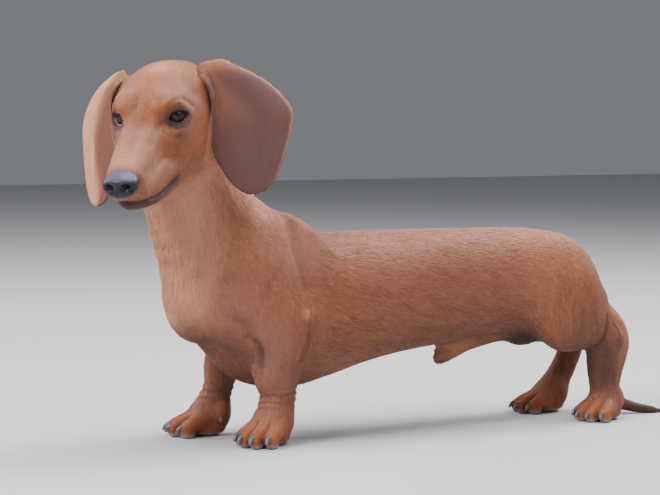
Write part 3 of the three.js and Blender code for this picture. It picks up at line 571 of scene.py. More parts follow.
    def head_masses(self) -> list:
        """Braincase, forehead, muzzle, jaw, brows, cheeks, cheekbones and flews, in the head's frame.

        Returns:
            The masses.
        """
        muzzle = [
            (-14, 0, -20, 26, 32), (8, 0, -21, 23.5, 28), (28, 0, -22, 20.5, 23.5),
            (50, 0, -22.8, 18.3, 18.4), (70, 0, -24.5, 17, 14.3), (79, 0, -25.4, 15.6, 12.4),
        ]
        jaw = [
            (-40, 0, -58, 28, 20), (-8, 0, -58, 23, 16), (30, 0, -53, 17, 12),
            (58, 0, -49, 12.5, 9), (73, 0, -45, 9.5, 6.5),
        ]
        masses = [
            Ball((-46, 0, -6), (46, 39.5, 30.5), 14, 2.3), Ball((-13, 0, 2), (29, 27, 21.5), 16),
            Limb(muzzle, 12, cap=0.6), Limb(jaw, 9),
        ]
        for s in SIDES:
            bone = [(12, s * 20, -15, 7, 8), (-12, s * 30, -12, 7, 9), (-40, s * 33, -6, 8, 10)]
            bridge = [
                (10, s * 11.5, -1.5, 6, 6.5), (38, s * 11.5, -9.5, 6, 6),
                (60, s * 11, -15.8, 5.5, 5.5), (74, s * 9.8, -19, 5, 5),
            ]
            flews = [
                (69, s * 9, -33, 9, 9.5), (45, s * 13.5, -37.5, 9, 11),
                (22, s * 17.5, -40, 9.5, 10.5), (5, s * 20.5, -43, 9, 9.5),
            ]
            lower_lip = [
                (16, s * 19.5, -53.5, 5.5, 6), (34, s * 17, -54, 5, 5.5),
                (50, s * 14, -52, 4.5, 5), (66, s * 10, -48.5, 4, 4),
            ]
            masses += [
                Ball((-6, s * 18.8, 10), (20, 13, 9.5), 10),
                Ball((-32, s * 25, -32), (32, 15, 34), 16),
                Limb(bone, 12),
                Ball((-12, s * 24, -27), (24, 10.5, 20), 14),
                Limb(bridge, 8),
                Limb(flews, 8),
                Limb(lower_lip, 6),
            ]
        return masses + [Ball((-50, 0, -54), (36, 30, 29), 18)]

    def body(self, points: Array) -> Array:
        """The depth under trunk, neck, legs, tail and paws."""
        names = ("trunk", "neck", "fore", "hind", "tail", "paws")
        return depth_of([m for name in names for m in self.regions[name]], points)

    def flesh(self, points: Array) -> Array:
        """The depth under the whole dog, with its stop hollows and lids.

        Args:
            points: rows of x, y, z.

        Returns:
            The depths, negative inside.
        """
        depth = self.body(points)
        high = points[:, 2] > self.head_floor
        if high.any():
            some = points[high]
            skull = depth_of(self.regions["head"], some)
            for pit in self.stop_hollows:
                skull = hollow(skull, pit.depth(some), pit.blend)
            whole = melt(depth[high], skull, self.head_blend)
            for lid in self.lids:
                whole = melt(whole, lid.depth(some), lid.blend)
            depth[high] = whole
        return depth

    def shares(self, points: Array) -> dict:
        """How much each region owns of each point, from exp(-depth / 5), adding up to 1.

        Args:
            points: rows of x, y, z.

        Returns:
            One array for each region's name.
        """
        depths = {name: depth_of(masses, points) for name, masses in self.regions.items()}
        least = np.min(list(depths.values()), axis=0)
        weights = {name: np.exp(-(depth - least) / 5) for name, depth in depths.items()}
        total = np.sum(list(weights.values()), axis=0)
        return {name: weight / total for name, weight in weights.items()}


# The nose pad


@dataclass(frozen=True)
class NoseShape:
    """The nose pad's rings of x, half width, half height and middle height, in the head's frame."""

    rings: tuple = (
        (73, 11, 6.8, -20), (78, 14.2, 9.2, -21), (83, 15.3, 10, -21.8), (88, 14.9, 9.8, -22.2),
        (91.5, 13, 8.6, -22.2), (93.4, 9.6, 6.2, -22), (94.3, 4.6, 3.2, -21.8),
    )
    narrowing: float = 0.3

    def depth(self, points: Array) -> Array:
        """About the distance to the pad: ((|y/half|^2.5 + |z/tall|^2.5)^0.4 - 1) times the half height.

        Args:
            points: rows of x, y, z in the head's frame.

        Returns:
            The depths, negative inside.
        """
        table = densify(self.rings, 6)
        x = np.clip(points[:, 0], table[0, 0], table[-1, 0])
        half, tall, middle = (np.interp(x, table[:, 0], table[:, i]) for i in (1, 2, 3))
        up = (points[:, 2] - middle) / tall
        squeeze = 1 - self.narrowing * np.clip(-up, 0, 1) ** 1.5
        aside = np.abs(points[:, 1] / (half * squeeze))
        ring = ((aside**2.5 + np.abs(up) ** 2.5) ** 0.4 - 1) * tall
        return np.maximum(ring, np.abs(points[:, 0] - x) + ring * 0.3)


# Ears


@dataclass(frozen=True)
class EarShape:
    """A hanging leaf: rows of down, middle, half width and bow, in a frame at the ear's root."""

    side: int
    root: tuple
    lift: float
    turn: float
    tilt: float
    size: tuple
    rows: tuple
    front_curl: float = 10.0
    back_curl: float = 5.5
    thickness: float = 2.6

    def turned(self) -> Turned:
        """The ear's frame: down the leaf, back and outwards across it, and out of its face.

        Returns:
            The frame in the dog's frame.
        """
        yaw = np.radians(47.5)
        heading = np.array([-np.cos(yaw), -np.sin(yaw), 0])
        outward = np.array([-heading[1], heading[0], 0]) * -self.side
        t = np.radians(self.turn)
        face = np.cos(t) * heading + np.sin(t) * outward
        back = -np.sin(t) * heading + np.cos(t) * outward
        down = unit(np.array([0, 0, -1.0]) + self.tilt * back)
        back = unit(back - (back @ down) * down)
        face = unit(face - (face @ down) * down - (face @ back) * back)
        origin = HEAD.outside(self.root) + np.array([0, 0, self.lift])
        return Turned(np.stack([down, back, face], 1), origin)

    def table(self) -> Array:
        """The rows at this ear's size, on a smooth curve."""
        scale = np.array([self.size[0], self.size[1], self.size[2], 1.0])
        return densify(np.array(self.rows, float) * scale, 8)

    def middle(self, down: Array, e: Array) -> Array:
        """The middle surface: (down, middle + half e, bow - curl e^2), with soft folds down it.

        The front edge is drawn in where the leaf passes the cheek, by a share of its half width.

        Args:
            down: how far down the leaf.
            e: the place across it, -1 at the front edge and 1 at the back.

        Returns:
            Points in the ear's frame.
        """
        table = self.table()
        centre, half, bow = (np.interp(down, table[:, 0], table[:, i]) for i in (1, 2, 3))
        front = np.interp(down, (-8, 5, 15, 25, 35, 45, 55, 65), (1, 0.84, 0.77, 0.79, 0.83, 0.88, 0.94, 1))
        e = np.where(e < 0, e * front, e)
        curl = np.where(e < 0, self.front_curl, self.back_curl) * e * e
        curl = curl * np.minimum(half / 34, 1)
        fold = 1.6 * bell(e + 0.35 - 0.0022 * down, 0.17) * ramp(down, 4, 30)
        fold -= 1.3 * bell(e - 0.12 - 0.001 * down, 0.2) * ramp(down, 20, 60)
        fold += 0.9 * bell(e - 0.5, 0.16) * ramp(down, 25, 70)
        fold *= (1 - ramp(down, 80, 105))
        return np.stack([down, centre + half * e, bow - curl + fold], -1)

    def span(self) -> tuple:
        """The leaf's first and last place down."""
        table = self.table()
        return table[0, 0], table[-1, 0]


EAR_ROWS_LEFT = (
    (-11, 17, 3, -6), (-8, 19, 12, -3.5), (-2, 21, 18, -0.5), (6, 26.5, 25.5, 1), (17, 33, 33, 2),
    (30, 38.5, 38, 3), (44, 43.3, 39.8, 4), (58, 42.5, 37, 4.5), (72, 41, 32, 4.5),
    (86, 39.5, 25.5, 4), (96, 38.5, 19, 3.5), (103, 37.5, 12, 3), (107, 37.5, 5, 3),
)
EAR_ROWS_RIGHT = (
    (-7, 12, 3, -7), (-3, 15, 11, -3.5), (3, 19, 20, -0.5), (10, 26, 28, 1), (20, 34, 35, 2),
    (32, 40, 38.5, 3), (44, 43, 39, 4), (58, 43, 36.5, 4.5), (72, 43, 32, 4.5),
    (86, 43.5, 26.5, 4), (96, 44, 20.5, 3.5), (103, 43.5, 13.5, 3), (107, 43, 6, 3),
)
EAR_SHAPES = {
    LEFT: EarShape(LEFT, (-39, 35, 14), 4.5, 45, 0.17, (1.04, 1.06, 1.07), EAR_ROWS_LEFT),
    RIGHT: EarShape(RIGHT, (-37, -34, 13), 5, 42, 0.08, (1.08, 0.95, 0.96), EAR_ROWS_RIGHT),
}


# Putting shapes into Blender


def part_shift() -> Array:
    """How far the dog's own frame stands from the part's, in mm, from the left eyeball's box.

    Returns:
        x, y and 0.
    """
    low, high = (np.array(corner) * 1000 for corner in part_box("eye_left"))
    shift = EYE.turned(LEFT).origin - (low + high) / 2
    return np.array([shift[0], shift[1], 0.0])


SHIFT = part_shift()


def in_metres(points: Array) -> Array:
    """Points of the dog's frame in mm, as metres in the part's frame."""
    return (np.asarray(points, float) - SHIFT) / 1000


def put_mesh(
    name: str, points: Array, faces: Array, material: Material
) -> Piece:
    """A smooth-shaded mesh object that rides on the root.

    Args:
        name: the piece's name.
        points: its vertices in the dog's frame in mm.
        faces: rows of three or four vertex numbers.
        material: its material.

    Returns:
        The object, linked into the scene.
    """
    mesh = bpy.data.meshes.new(name)
    flat = np.ascontiguousarray(in_metres(points), dtype=np.float32)
    mesh.vertices.add(len(flat))
    mesh.vertices.foreach_set("co", flat.ravel())
    mesh.loops.add(faces.size)
    mesh.loops.foreach_set("vertex_index", np.ascontiguousarray(faces, dtype=np.int32).ravel())
    mesh.polygons.add(len(faces))
    starts = np.arange(len(faces), dtype=np.int32) * faces.shape[1]
    mesh.polygons.foreach_set("loop_start", starts)
    mesh.update(calc_edges=True)
    mesh.shade_smooth()
    mesh.materials.append(material)
    piece = bpy.data.objects.new(name, mesh)
    bpy.context.scene.collection.objects.link(piece)
    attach(piece, "root")
    return piece


def put_values(piece: Piece, values: dict) -> None:
    """Named numbers or vectors at the vertices of a piece.

    Args:
        piece: the mesh object.
        values: arrays by name, one number or three for each vertex.
    """
    for name, array in values.items():
        kind = "FLOAT" if array.ndim == 1 else "FLOAT_VECTOR"
        layer = piece.data.attributes.new(name, kind, "POINT")
        key = "value" if array.ndim == 1 else "vector"
        layer.data.foreach_set(key, np.ascontiguousarray(array, dtype=np.float32).ravel())


def put_uv(piece: Piece, name: str, uv: Array, faces: Array) -> None:
    """A UV map from a place for each vertex.

    Args:
        piece: the mesh object.
        name: the map's name.
        uv: rows of u, v for the vertices.
        faces: the faces that were given to the mesh.
    """
    layer = piece.data.uv_layers.new(name=name)
    corners = np.ascontiguousarray(uv[faces.ravel()], dtype=np.float32)
    layer.data.foreach_set("uv", corners.ravel())


def sheet_faces(rows: int, around: int) -> Array:
    """The quads of a grid of rows, each closed round.

    Args:
        rows: how many rows.
        around: how many points in a row.

    Returns:
        Rows of four vertex numbers.
    """
    i = np.arange(rows - 1)[:, None] * around
    j = np.arange(around)[None]
    k = (j + 1) % around
    return np.stack([i + j, i + k, i + around + k, i + around + j], -1).reshape(-1, 4)


def facing_out(points: Array, faces: Array) -> Array:
    """The faces of a closed shape, turned over where its volume, the sum of a . (b x c), is negative.

    Args:
        points: its vertices.
        faces: rows of three or four vertex numbers.

    Returns:
        The faces.
    """
    a, b, c, d = (points[faces[:, i]] for i in (0, 1, 2, -1))
    volume = (a * (np.cross(b, c) + np.cross(c, d))).sum()
    return faces if volume > 0 else faces[:, ::-1]


def tube(rings: Array) -> tuple:
    """A closed tube of rings with fans at both ends, facing outwards.

    Args:
        rings: an array of rings, points round each and x, y, z.

    Returns:
        Its points and its faces as triangles.
    """
    count, around = rings.shape[:2]
    quads = sheet_faces(count, around)
    points = np.vstack([rings.reshape(-1, 3), rings[0].mean(0), rings[-1].mean(0)])
    j = np.arange(around)
    k = (j + 1) % around
    base = (count - 1) * around
    first = np.stack([k, j, np.full(around, count * around)], 1)
    last = np.stack([base + j, base + k, np.full(around, count * around + 1)], 1)
    return points, facing_out(points, np.vstack([quads[:, [0, 1, 2]], quads[:, [0, 2, 3]], first, last]))


# Skin


def grid_lines(low: float, high: float, fine: float, coarse: float, zones: tuple) -> Array:
    """Grid lines along one axis: fine steps in the zones, growing to coarse ones over 30 mm.

    Args:
        low: where they start.
        high: where they end.
        fine: the step inside the zones.
        coarse: the step away from them.
        zones: pairs of a zone's start and end.

    Returns:
        The places of the lines.
    """
    at = [low]
    while at[-1] < high:
        away = min(max(a - at[-1], at[-1] - b, 0) for a, b in zones)
        at.append(at[-1] + fine + (coarse - fine) * min(1, away / 30))
    return np.array(at)


def grid_depths(depth: callable, lines: list, stride: int, band: float) -> Array:
    """Depths on a grid, worked out in full only near the surface.

    Every stride-th line is worked out first and spread by straight interpolation along each
    axis; where the result is within the band of the surface, the true depth takes its place.

    Args:
        depth: the depth of rows of points.
        lines: the grid lines along x, y and z.
        stride: how many fine lines make a rough one.
        band: how near the surface counts as near, in mm.

    Returns:
        The depths by x, y and z line.
    """
    picks = [np.unique(np.append(np.arange(0, len(line), stride), len(line) - 1)) for line in lines]
    rough = [line[pick] for line, pick in zip(lines, picks)]
    corners = np.stack(np.meshgrid(*rough, indexing="ij"), -1)
    values = np.stack([depth(slab.reshape(-1, 3)).reshape(slab.shape[:2]) for slab in corners])
    for axis in range(3):
        at = np.clip(np.searchsorted(rough[axis], lines[axis]) - 1, 0, len(rough[axis]) - 2)
        t = (lines[axis] - rough[axis][at]) / (rough[axis][at + 1] - rough[axis][at])
        shape = [1, 1, 1]
        shape[axis] = -1
        t = t.reshape(shape)
        values = np.take(values, at, axis) * (1 - t) + np.take(values, at + 1, axis) * t
    for i, x in enumerate(lines[0]):
        j, k = np.nonzero(np.abs(values[i]) < band)
        if len(j):
            points = np.stack([np.full(len(j), x), lines[1][j], lines[2][k]], 1)
            values[i, j, k] = depth(points)
    return values


def net_surface(values: Array, lines: list) -> tuple:
    """The zero surface of gridded depths as quads: a vertex in each cell that it crosses.

    A cell's vertex is the mean of the places where its edges are crossed, and each crossed grid
    edge gives a quad between the four cells round it.

    Args:
        values: the depths by x, y and z line.
        lines: the grid lines along x, y and z.

    Returns:
        The vertices and rows of four vertex numbers, facing outwards.
    """
    inside = values < 0
    cells = tuple(n - 1 for n in values.shape)
    count = np.zeros(cells, np.int8)
    corners = [(i, j, k) for i in (0, 1) for j in (0, 1) for k in (0, 1)]
    for i, j, k in corners:
        count += inside[i : cells[0] + i, j : cells[1] + j, k : cells[2] + k]
    crossed = (count > 0) & (count < 8)
    at = np.stack(np.nonzero(crossed), 1)
    number = np.full(cells, -1, np.int64)
    number[crossed] = np.arange(len(at))
    total = np.zeros((len(at), 3))
    hits = np.zeros(len(at))
    for corner in corners:
        for axis in range(3):
            if corner[axis]:
                continue
            other = list(corner)
            other[axis] = 1
            a = at + np.array(corner)
            b = at + np.array(other)
            va, vb = values[tuple(a.T)], values[tuple(b.T)]
            cross = (va < 0) != (vb < 0)
            t = va[cross] / (va[cross] - vb[cross])
            pa = np.stack([lines[n][a[cross, n]] for n in range(3)], 1)
            pb = np.stack([lines[n][b[cross, n]] for n in range(3)], 1)
            total[cross] += pa + (pb - pa) * t[:, None]
            hits[cross] += 1
    quads = []
    for axis in range(3):
        first = [slice(1, -1)] * 3
        second = [slice(1, -1)] * 3
        first[axis], second[axis] = slice(0, -1), slice(1, None)
        a, b = inside[tuple(first)], inside[tuple(second)]
        edges = a != b
        u, v = [(1, 2), (2, 0), (0, 1)][axis]
        shift = np.zeros(3, int)
        shift[[u, v]] = 1
        place = np.stack(np.nonzero(edges), 1) + shift
        quad = []
        for du, dv in ((-1, -1), (0, -1), (0, 0), (-1, 0)):
            cell = place.copy()
            cell[:, u] += du
            cell[:, v] += dv
            quad.append(number[tuple(cell.T)])
        quad = np.stack(quad, 1)
        turned = ~a[edges]
        quad[turned] = quad[turned][:, ::-1]
        quads.append(quad)
    return total / hits[:, None], np.vstack(quads)


def slopes(depth: callable, points: Array, step: float = 0.35) -> Array:
    """The outward unit normals of a depth, from differences across a small step.

    Args:
        depth: the depth of rows of points.
        points: rows of x, y, z.
        step: half the distance across.

    Returns:
        The normals.
    """
    parts = []
    for axis in range(3):
        move = np.zeros(3)
        move[axis] = step
        parts.append(depth(points + move) - depth(points - move))
    return unit(np.stack(parts, 1))


def ring_mean(values: Array, quads: Array) -> Array:
    """The mean of each vertex's neighbours along the faces' edges.

    Args:
        values: a row for each vertex.
        quads: rows of four vertex numbers.

    Returns:
        The means.
    """
    total = np.zeros_like(values)
    hits = np.zeros(len(values))
    for a, b in ((0, 1), (1, 2), (2, 3), (3, 0)):
        for near, other in ((quads[:, a], quads[:, b]), (quads[:, b], quads[:, a])):
            np.add.at(total, near, values[other])
            np.add.at(hits, near, 1.0)
    return total / np.maximum(hits, 1)[:, None]


def net_normals(points: Array, quads: Array) -> Array:
    """Vertex normals: the crossed diagonals of the quads round each vertex, added up and softened.

    Args:
        points: the vertices.
        quads: rows of four vertex numbers.

    Returns:
        The normals.
    """
    corner = points[quads]
    cross = np.cross(corner[:, 2] - corner[:, 0], corner[:, 3] - corner[:, 1])
    total = np.zeros_like(points)
    for i in range(4):
        np.add.at(total, quads[:, i], cross)
    normals = unit(total)
    return unit(normals + ring_mean(normals, quads))


@dataclass(frozen=True)
class Crease:
    """A soft line in the skin: its depth (below zero, a ridge), half width, course and darkness."""

    depth: float
    width: float
    line: tuple
    # dark: how much painted shade darkens the coat along the line.
    dark: float = 0.0
    mirrored: bool = True

    def share(self, points: Array) -> Array:
        """exp(-(distance to the line / width)^2), fading out over the line's ends.

        Args:
            points: rows of x, y, z in the line's frame.

        Returns:
            Shares between 0 and 1.
        """
        q = points
        if self.mirrored:
            q = np.column_stack([q[:, 0], np.abs(q[:, 1]) * np.sign(self.line[0][1]), q[:, 2]])
        line = densify(self.line, 3)
        reach = 3 * self.width
        found = np.zeros(len(q))
        near = np.all((q > line.min(0) - reach) & (q < line.max(0) + reach), axis=1)
        some = q[near]
        least = np.full(len(some), 99.0)
        place = np.zeros(len(some))
        count = len(line) - 1
        for i, (start, end) in enumerate(zip(line[:-1], line[1:])):
            along = end - start
            t = np.clip((some - start) @ along / (along @ along), 0, 1)
            away = np.linalg.norm(some - start - t[:, None] * along, axis=1)
            place = np.where(away < least, (i + t) / count, place)
            least = np.minimum(least, away)
        fade = ramp(place, -0.05, 0.16) * (1 - ramp(place, 0.84, 1.05))
        found[near] = bell(least, self.width) * fade
        return found


HEAD_CREASES = (
    Crease(1.0, 1.6, ((8.8, 22.4, 10.2), (7.1, 24.4, 13.6), (1.9, 27.2, 15.3), (-4, 30, 14.5),
                       (-10.5, 32.6, 10.1), (-15.2, 35.4, 3.8), (-14.5, 37.8, -1.1)), 0.3),
    Crease(0.9, 1.4, ((7.6, 20.7, -2.1), (8.1, 24.2, -6.3), (7.5, 29.1, -8.6), (3.5, 33.3, -8.9),
                       (-3, 36.5, -7.1)), 0.25),
    Crease(0.7, 2.0, ((21.3, 16.5, -0.1), (19.8, 19.7, -6.1), (17.3, 24.9, -10.9), (12.7, 29.7, -14.1),
                       (6, 34.1, -16), (-1.4, 37.4, -15.9)), 0.12),
    Crease(1.3, 2.6, ((8.7, 18.8, 2.2), (16.8, 17.2, 0.5), (26.2, 15.8, -1.3), (36.6, 15.3, -4),
                      (47.1, 15.4, -7.3)), 0.1),
    Crease(1.7, 2.8, ((13.6, 5.7, 10.9), (8.7, 4.6, 15.8), (0.6, 3.3, 20.6), (-10.3, 1.4, 24.1),
                      (-24.8, 0.5, 25.3)), 0.12),
    Crease(1.1, 2.8, ((14.4, 25.3, -49.6), (8.3, 29.1, -45.5), (0.4, 33.1, -40.8), (-5.3, 37, -33.4)), 0.2),
    Crease(0.7, 3.0, ((64, 16, -26.5), (50, 18, -25.5), (34, 20, -24.5), (20, 23, -24)), 0.0),
)
BODY_CREASES = (
    Crease(2.2, 2.8, ((-29.4, -61.8, 104.4), (-22.7, -61.9, 99.6), (-15.3, -60.6, 93), (-9.6, -54.5, 80.5),
                      (-9.9, -48.6, 67.4)), 0.6, False),
    Crease(2.4, 5.0, ((-53.8, -52, 125.8), (-41.7, -61.5, 119.9), (-28.5, -64.3, 112.5),
                      (-17.9, -64.3, 103.2)), 0.15),
    Crease(2.4, 3.2, ((32.1, -66.1, 104.6), (31.1, -64.1, 93.7), (29.7, -58.7, 80.7), (28, -54.1, 70.4)),
           0.4, False),
    Crease(2.4, 6.5, ((18.6, -28.1, 207.5), (22.8, -48.6, 187.8), (27, -58.4, 161.4), (33, -62.3, 132.9)),
           0.2),
    Crease(1.7, 5.0, ((-57.1, -40.5, 220.3), (-59.2, -40.7, 189.6), (-62.4, -36.8, 166.5)), 0.1),
    Crease(-0.8, 4.0, ((-79.2, 3.9, 143.7), (-77.5, 8.2, 128.9), (-75.2, 2.1, 115.8), (-70.2, -2.1, 104.3)),
           0.0, False),
    Crease(2.2, 2.5, ((358.5, -48, 105.5), (357.5, -49.7, 94.1), (354.5, -50.9, 84.7), (349.9, -49.4, 76),
                      (344, -44.6, 70.1)), 0.5),
    Crease(1.5, 2.0, ((364.3, -46.4, 95.4), (372.8, -43.9, 90), (372.6, -47.8, 81.6), (373.9, -46.2, 68.8)),
           0.4),
    Crease(2.0, 6.0, ((286, -45, 128), (284, -45, 112), (292, -44, 98)), 0.15),
)


def lip_height(x: Array) -> Array:
    """The height of the mouth's line at a place along the muzzle, in the head's frame."""
    return np.interp(x, (14, 20, 30, 44, 56, 69, 84), (-45.5, -47.5, -48.8, -48.8, -47.6, -44, -39.3))


@dataclass
class Skin:
    """The dog's skin: one closed surface a little inside the solids, with its folds and lids.

    It is cast on grid lines from low to high along x, y and z, fine in the zones and coarse elsewhere.
    """

    anatomy: Anatomy
    nose: NoseShape
    low: tuple = (-206, -140, -4)
    high: tuple = (452, 100, 352)
    fine: tuple = (1.7, 1.84, 1.7)
    coarse: tuple = (3.05, 2.5, 2.85)
    zones: tuple = (((-208, -34), (-34, 22), (322, 372)), ((-112, -12), (26, 60)), ((0, 62), (222, 322)))
    half_opening: tuple = (8.9, 6.7)
    seat_radius: float = 8.2
    nose_gap: float = 0.9
    furrow: float = 0.7
    lid_roll: float = 0.25
    mouth_depth: float = 1.9
    mouth_width: float = 0.95
    mouth_corner: float = 1.1
    wrist_depth: float = 1.5
    toe_depth: float = 1.4
    elbow_knob: float = 3.2
    shoulder_edge: float = 1.4
    smoothings: int = 6

    def __post_init__(self) -> None:
        """Works out the ridges that the ears grow from."""
        self.ridges = [self.ear_ridge(EAR_SHAPES[side]) for side in SIDES]

    def ear_ridge(self, shape: EarShape) -> Placed:
        """The ridge on the skull that an ear grows from, along the top of its front edge.

        Args:
            shape: the ear.

        Returns:
            The ridge's mass.
        """
        down = np.array([-7.5, -5.5, -1.0, 7.0, 18.0])
        across = np.array([0.35, -0.35, -0.75, -0.9, -0.95])
        line = shape.middle(down, across)
        radii = np.array([1.2, 2.0, 2.7, 2.5, 1.4])
        rows = np.column_stack([line, radii, radii])
        return Placed(Limb(rows.tolist(), 9), shape.turned())

    def inset(self, points: Array) -> Array:
        """How deep under the solids the skin lies: the coat's depth, least on face and feet.

        Args:
            points: rows of x, y, z.

        Returns:
            The depths in mm.
        """
        head = ramp(points[:, 2] - 0.4 * points[:, 0], 250, 285)
        low = 1 - ramp(points[:, 2], 25, 110)
        return 1.25 - 0.55 * head - 0.65 * low

    def base(self, points: Array) -> Array:
        """The skin's depth before its folds: the flesh, the ears' ridges, the eyes' and nose's seats.

        Args:
            points: rows of x, y, z.

        Returns:
            The depths, negative inside.
        """
        depth = self.anatomy.flesh(points) + self.inset(points)
        high = points[:, 2] > 200
        if high.any():
            some = points[high]
            part = depth[high]
            for ridge in self.ridges:
                part = melt(part, ridge.depth(some), ridge.blend)
            for side in SIDES:
                part = np.maximum(part, -self.eye_seat(some, side))
            part = hollow(part, self.nose.depth(HEAD.inside(some)) + self.nose_gap, 1.2)
            depth[high] = part
        return np.maximum(depth, -points[:, 2] + 0.05)

    def eye_seat(self, points: Array, side: int) -> Array:
        """The opening between the lids, from two arcs, down to just under the eyeball's surface.

        Args:
            points: rows of x, y, z.
            side: LEFT or RIGHT.

        Returns:
            The depths, negative inside the opening.
        """
        q = EYE.turned(side).inside(points)
        half, tall = self.half_opening
        radius = (half**2 + tall**2) / (2 * tall)
        drop = radius - tall
        upper = np.hypot(q[:, 1], q[:, 2] + drop) - radius
        lower = np.hypot(q[:, 1], q[:, 2] - drop) - radius
        almond = np.maximum(upper, lower)
        floor = self.seat_radius - np.linalg.norm(q, axis=1)
        return np.maximum(np.maximum(almond, floor), -q[:, 0])

    def folds(self, points: Array, shares: dict) -> Array:
        """Small folds, furrows and lines, as how far the skin moves outwards.

        Args:
            points: rows of x, y, z on the skin.
            shares: how much each region owns of each point.

        Returns:
            Heights in mm.
        """
        q = HEAD.inside(points)
        x, y, z = q.T
        head = shares["head"]
        height = np.zeros(len(points))
        for crease in HEAD_CREASES:
            height -= head * crease.depth * crease.share(q)
        for crease in BODY_CREASES:
            height -= (1 - head) * crease.depth * crease.share(points)
        # The pads of the brows, the furrow up the middle of the forehead and the rolls of the lids.
        pads = spotted(np.column_stack([x, np.abs(y), z]), ((-2, 15, 20, 7, 1.1), (30, 13.5, -2, 9, 0.7)))
        height += head * pads
        height -= head * self.furrow * bell(y, 2.4) * ramp(x, -38, -16) * (1 - ramp(x, 4, 14)) * (z > 0)
        for s in SIDES:
            e = EYE.turned(s).inside(points)
            roll = bell(np.hypot(e[:, 1] / 1.18, e[:, 2]) - 9.9, 1.0)
            height += head * (e[:, 0] > 0) * self.lid_roll * roll
        # The line of the mouth, with the upper lip hanging over it and the lower lip rolled under it.
        along = ramp(x, 12, 17) * (1 - ramp(x, 88, 94)) * (z < -30)
        off = z - lip_height(x)
        height -= head * along * self.mouth_depth * bell(off, self.mouth_width)
        height += head * along * (0.6 * bell(off - 2.6, 1.8) + 0.35 * bell(off + 3.0, 1.5))
        corner = bell(np.hypot(x - 15, off * 0.8), 2.8) * (np.abs(y) > 8)
        height -= head * self.mouth_corner * corner
        return height + self.leg_folds(points, shares)

    def leg_folds(self, points: Array, shares: dict) -> Array:
        """Rings of loose skin at the wrists, the elbows' knobs and the muscles' edges.

        Args:
            points: rows of x, y, z on the skin.
            shares: how much each region owns of each point.

        Returns:
            Heights in mm.
        """
        x, y, z = points.T
        height = -self.wrist_depth * wrist_rings(points) * shares["fore"]
        height -= self.toe_depth * toe_gaps(points) * shares["paws"]
        for s in SIDES:
            knob = bell(np.hypot(x - 28, z - 117), 6)
            height += ramp(s * y, 30, 44) * self.elbow_knob * knob
            front = bell(x + 22 - 0.62 * (z - 118), 4.5) * ramp(z, 104, 118) * (1 - ramp(z, 150, 172))
            height -= ramp(s * y, 30, 42) * self.shoulder_edge * front
        return height

    def cast(self) -> None:
        """Works out the surface: nets of the depth, drawn onto its zero, then moved by the folds."""
        rough = 1.0
        axes = zip(self.low, self.high, self.fine, self.coarse, self.zones)
        lines = [
            grid_lines(low, high, fine * rough, coarse * rough, zones)
            for low, high, fine, coarse, zones in axes
        ]
        values = grid_depths(self.base, lines, 4, 9.0 if rough == 1.0 else 14.0)
        points, quads = net_surface(values, lines)
        for _ in range(2):
            depth = self.base(points)
            points = points - np.clip(depth, -2, 2)[:, None] * slopes(self.base, points)
        normals = slopes(self.base, points, 0.8)
        self.shares = self.anatomy.shares(points)
        soft = self.muzzle_share(points)[:, None]
        for _ in range(self.smoothings):
            points = points + 0.6 * soft * (ring_mean(points, quads) - points)
        points = points + self.folds(points, self.shares)[:, None] * normals
        points[:, 2] = np.maximum(points[:, 2], 0.0)
        self.points, self.quads, self.normals = points, quads, net_normals(points, quads)

    def muzzle_share(self, points: Array) -> Array:
        """Where the skin is smoothed: over the bridge and sides of the muzzle, clear of eyes and lips.

        Args:
            points: rows of x, y, z.

        Returns:
            Shares between 0 and 1.
        """
        q = HEAD.inside(points)
        share = ramp(q[:, 0], 8, 18) * (1 - ramp(q[:, 0], 68, 73)) * ramp(q[:, 2], -44, -38)
        share = share * self.shares["head"]
        for side in SIDES:
            share = share * ramp(np.linalg.norm(points - EYE.turned(side).origin, axis=1), 13, 18)
        return share
